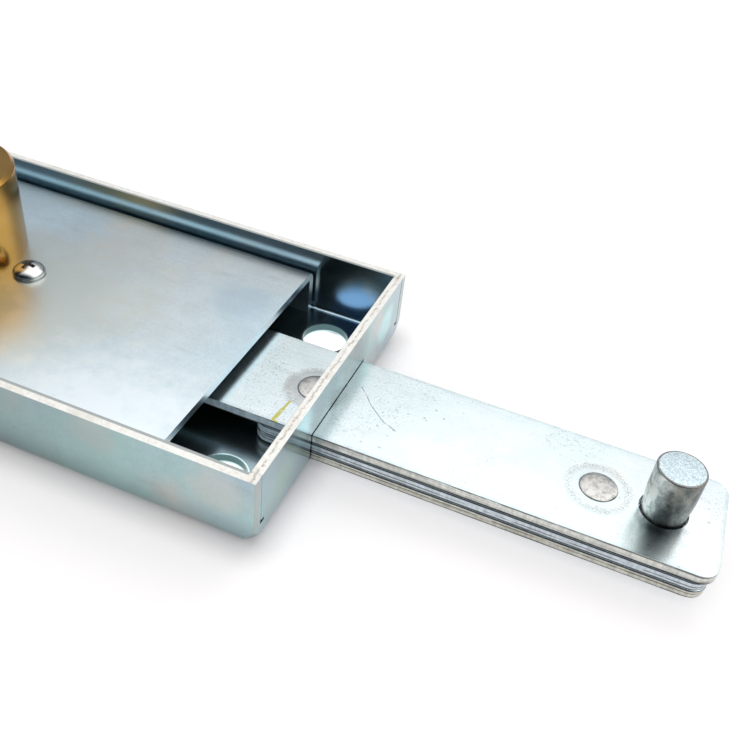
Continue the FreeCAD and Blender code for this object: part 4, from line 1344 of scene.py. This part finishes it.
@dataclass
class Studio:
    """White floor, pale surroundings, a light tent, one soft lamp and the camera.

    Places and sizes are in metres, angles in degrees, the lens in millimetres. The tent's level rises from
    tent_dim to tent_bright between the directions whose height is tent_low and tent_high.
    """

    eye: Vector = field(default_factory=lambda: Vector((0.122316, -0.108811, 0.110970)))
    azimuth: float = 17.232
    elevation: float = 40.087
    roll: float = 7.547
    lens: float = 42.535
    floor_size: float = 3.0
    floor_white: float = 0.76
    floor_lift: float = 0.40
    sky: float = 0.85
    tent_radius: float = 1.6
    tent_place: float = 0.08
    tent_low: float = 0.44
    tent_high: float = 0.80
    tent_dim: float = 0.40
    tent_bright: float = 1.60
    tent_dark: float = 0.03
    lamp_place: Vector = field(default_factory=lambda: Vector((0.16, 0.60, 0.62)))
    lamp_aim: Vector = field(default_factory=lambda: Vector((0.1, 0.0, 0.0)))
    lamp_size: float = 0.45
    lamp_power: float = 0.9

    def camera(self) -> None:
        """The camera where the photograph was taken from."""
        data = bpy.data.cameras.new("camera")
        data.lens = self.lens
        data.sensor_width = 36.0
        data.clip_start = 0.01
        data.clip_end = 20.0
        cam = bpy.data.objects.new("camera", data)
        bpy.context.scene.collection.objects.link(cam)
        turn = (Matrix.Rotation(math.radians(self.azimuth), 4, "Z")
                @ Matrix.Rotation(math.radians(90.0 - self.elevation), 4, "X")
                @ Matrix.Rotation(math.radians(self.roll), 4, "Z"))
        cam.matrix_world = Matrix.Translation(self.eye) @ turn
        bpy.context.scene.camera = cam

    def floor(self) -> None:
        """A plain pale floor at the case's underside, a little whiter where it is seen or mirrored."""
        work = bmesh.new()
        bmesh.ops.create_grid(work, x_segments=1, y_segments=1, size=self.floor_size / 2)
        mesh = bpy.data.meshes.new("floor")
        work.to_mesh(mesh)
        work.free()
        floor = new_piece("floor", mesh)
        floor.location.z = CAD_BOUNDS[0][2] - 0.0001
        shader = Shader("floor_white")
        white = (self.floor_white, self.floor_white * 0.985, self.floor_white * 0.99, 1.0)
        paint = shader.make("ShaderNodeBsdfDiffuse", None, {"Color": white}, "BSDF")
        lift = shader.seen() * self.floor_lift * self.contact(shader)
        glow = shader.make("ShaderNodeEmission", None, {"Color": (1.0, 0.975, 0.985, 1.0), "Strength": lift},
                           "Emission")
        shader.close(shader.make("ShaderNodeAddShader", None, {0: paint, 1: glow}, "Shader"))
        mesh.materials.append(shader.owner)

    def contact(self, shader: Shader) -> Wire:
        """Painted shadow: less of the lift close round the case's foot, where hardly any light gets in;
        painted
        light: more than twice the lift under the case, where the floor is seen through the fixing holes.

        Args:
            shader: The node tree of the finish.

        Returns:
            A share of the lift.
        """
        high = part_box("case_tray")[1]
        offset = shader.vector("ABSOLUTE", shader.place())
        outside = shader.vector("SUBTRACT", offset, (high.x - 1.6 * MM, high.y - 1.6 * MM, 0.0))
        outside = shader.vector("MAXIMUM", outside, (0.0, 0.0, 0.0))
        away = shader.vector("LENGTH", shader.stretched(outside, (1.0, 1.0, 0.0)), output="Value")
        within = shader.vector("SUBTRACT", offset, (high.x - 6.0 * MM, high.y - 6.0 * MM, 0.0))
        within = shader.vector("MAXIMUM", within, (0.0, 0.0, 0.0))
        inside = shader.vector("LENGTH", shader.stretched(within, (1.0, 1.0, 0.0)), output="Value")
        # Painted light: the floor under the case, seen through the fixing holes, lifted more than twice.
        under = shader.step(inside, 0.5 * MM, 0.0, 0.0, 2.2)
        # Painted shadow: less lift within 7 mm of the case's foot.
        return shader.step(away, 0.0, 7.0 * MM, 0.25, 1.0).largest(under)

    def light_tent(self) -> None:
        """A tent that only reflections see: bright overhead and behind, dim low down, dark in front."""
        work = bmesh.new()
        bmesh.ops.create_uvsphere(work, u_segments=48, v_segments=24, radius=self.tent_radius)
        below = [v for v in work.verts if v.co.z < -0.01]
        bmesh.ops.delete(work, geom=below, context="VERTS")
        mesh = bpy.data.meshes.new("light_tent")
        work.to_mesh(mesh)
        work.free()
        tent = new_piece("light_tent", mesh)
        tent.location.x = self.tent_place
        for ray in ("camera", "diffuse", "transmission", "volume_scatter", "shadow"):
            setattr(tent, "visible_" + ray, False)
        shader = Shader("tent_cloth")
        way = shader.vector("NORMALIZE", shader.place())
        height = shader.axis(way, "Z")
        back = shader.axis(way, "Y")
        beside = shader.step(shader.axis(way, "X"), 0.25, 0.55, 0.0, 0.40)
        rise = shader.step(height + beside, self.tent_low, self.tent_high, self.tent_dim, self.tent_bright)
        front = shader.step(back, -0.78, -0.15, self.tent_dark, 1.0)
        level = rise * front * shader.step(shader.axis(way, "X"), -0.34, -0.06, 1.0, 1.22)
        tone = shader.mix(shader.step(level, 0.0, 1.0), (0.60, 0.78, 1.0), (1.0, 1.0, 1.0))
        shader.close(shader.make("ShaderNodeEmission", None, {"Color": tone, "Strength": level}, "Emission"))
        mesh.materials.append(shader.owner)

    def world(self) -> None:
        """Even surroundings, white where they are seen or mirrored."""
        shader = Shader("surroundings", surroundings=True)
        inputs = {"Value": shader.seen(), "To Min": self.sky, "To Max": 1.0}
        level = shader.make("ShaderNodeMapRange", None, inputs, "Result")
        light = shader.make("ShaderNodeBackground", None, {"Color": (1.0, 1.0, 1.0, 1.0), "Strength": level},
                            "Background")
        shader.close(light, "ShaderNodeOutputWorld")
        bpy.context.scene.world = shader.owner

    def lamp(self) -> None:
        """A square lamp above and behind, turned towards the lock, that no mirror shows."""
        data = bpy.data.lights.new("back_lamp", "AREA")
        data.size = self.lamp_size
        data.energy = self.lamp_power
        lamp = bpy.data.objects.new("back_lamp", data)
        lamp.visible_glossy = False
        lamp.location = self.lamp_place
        lamp.rotation_euler = (self.lamp_place - self.lamp_aim).to_track_quat("Z", "Y").to_euler()
        bpy.context.scene.collection.objects.link(lamp)

    def build(self) -> None:
        """Sets up everything that isn't the lock."""
        self.camera()
        self.floor()
        self.world()
        self.light_tent()
        self.lamp()
        bpy.context.scene.view_settings.view_transform = "Standard"


def main() -> None:
    """Builds the lock's sub-assemblies in order, then the studio."""
    logging.basicConfig(level=logging.INFO, format="%(name)s: %(message)s")
    row = FastenerRow()
    FoldedCase().build()
    CoverScrews().build(row)
    Cylinder().build()
    for side in Side:
        Bolt(side).build(row)
    Studio().build()


if __name__ == "__main__":
    main()
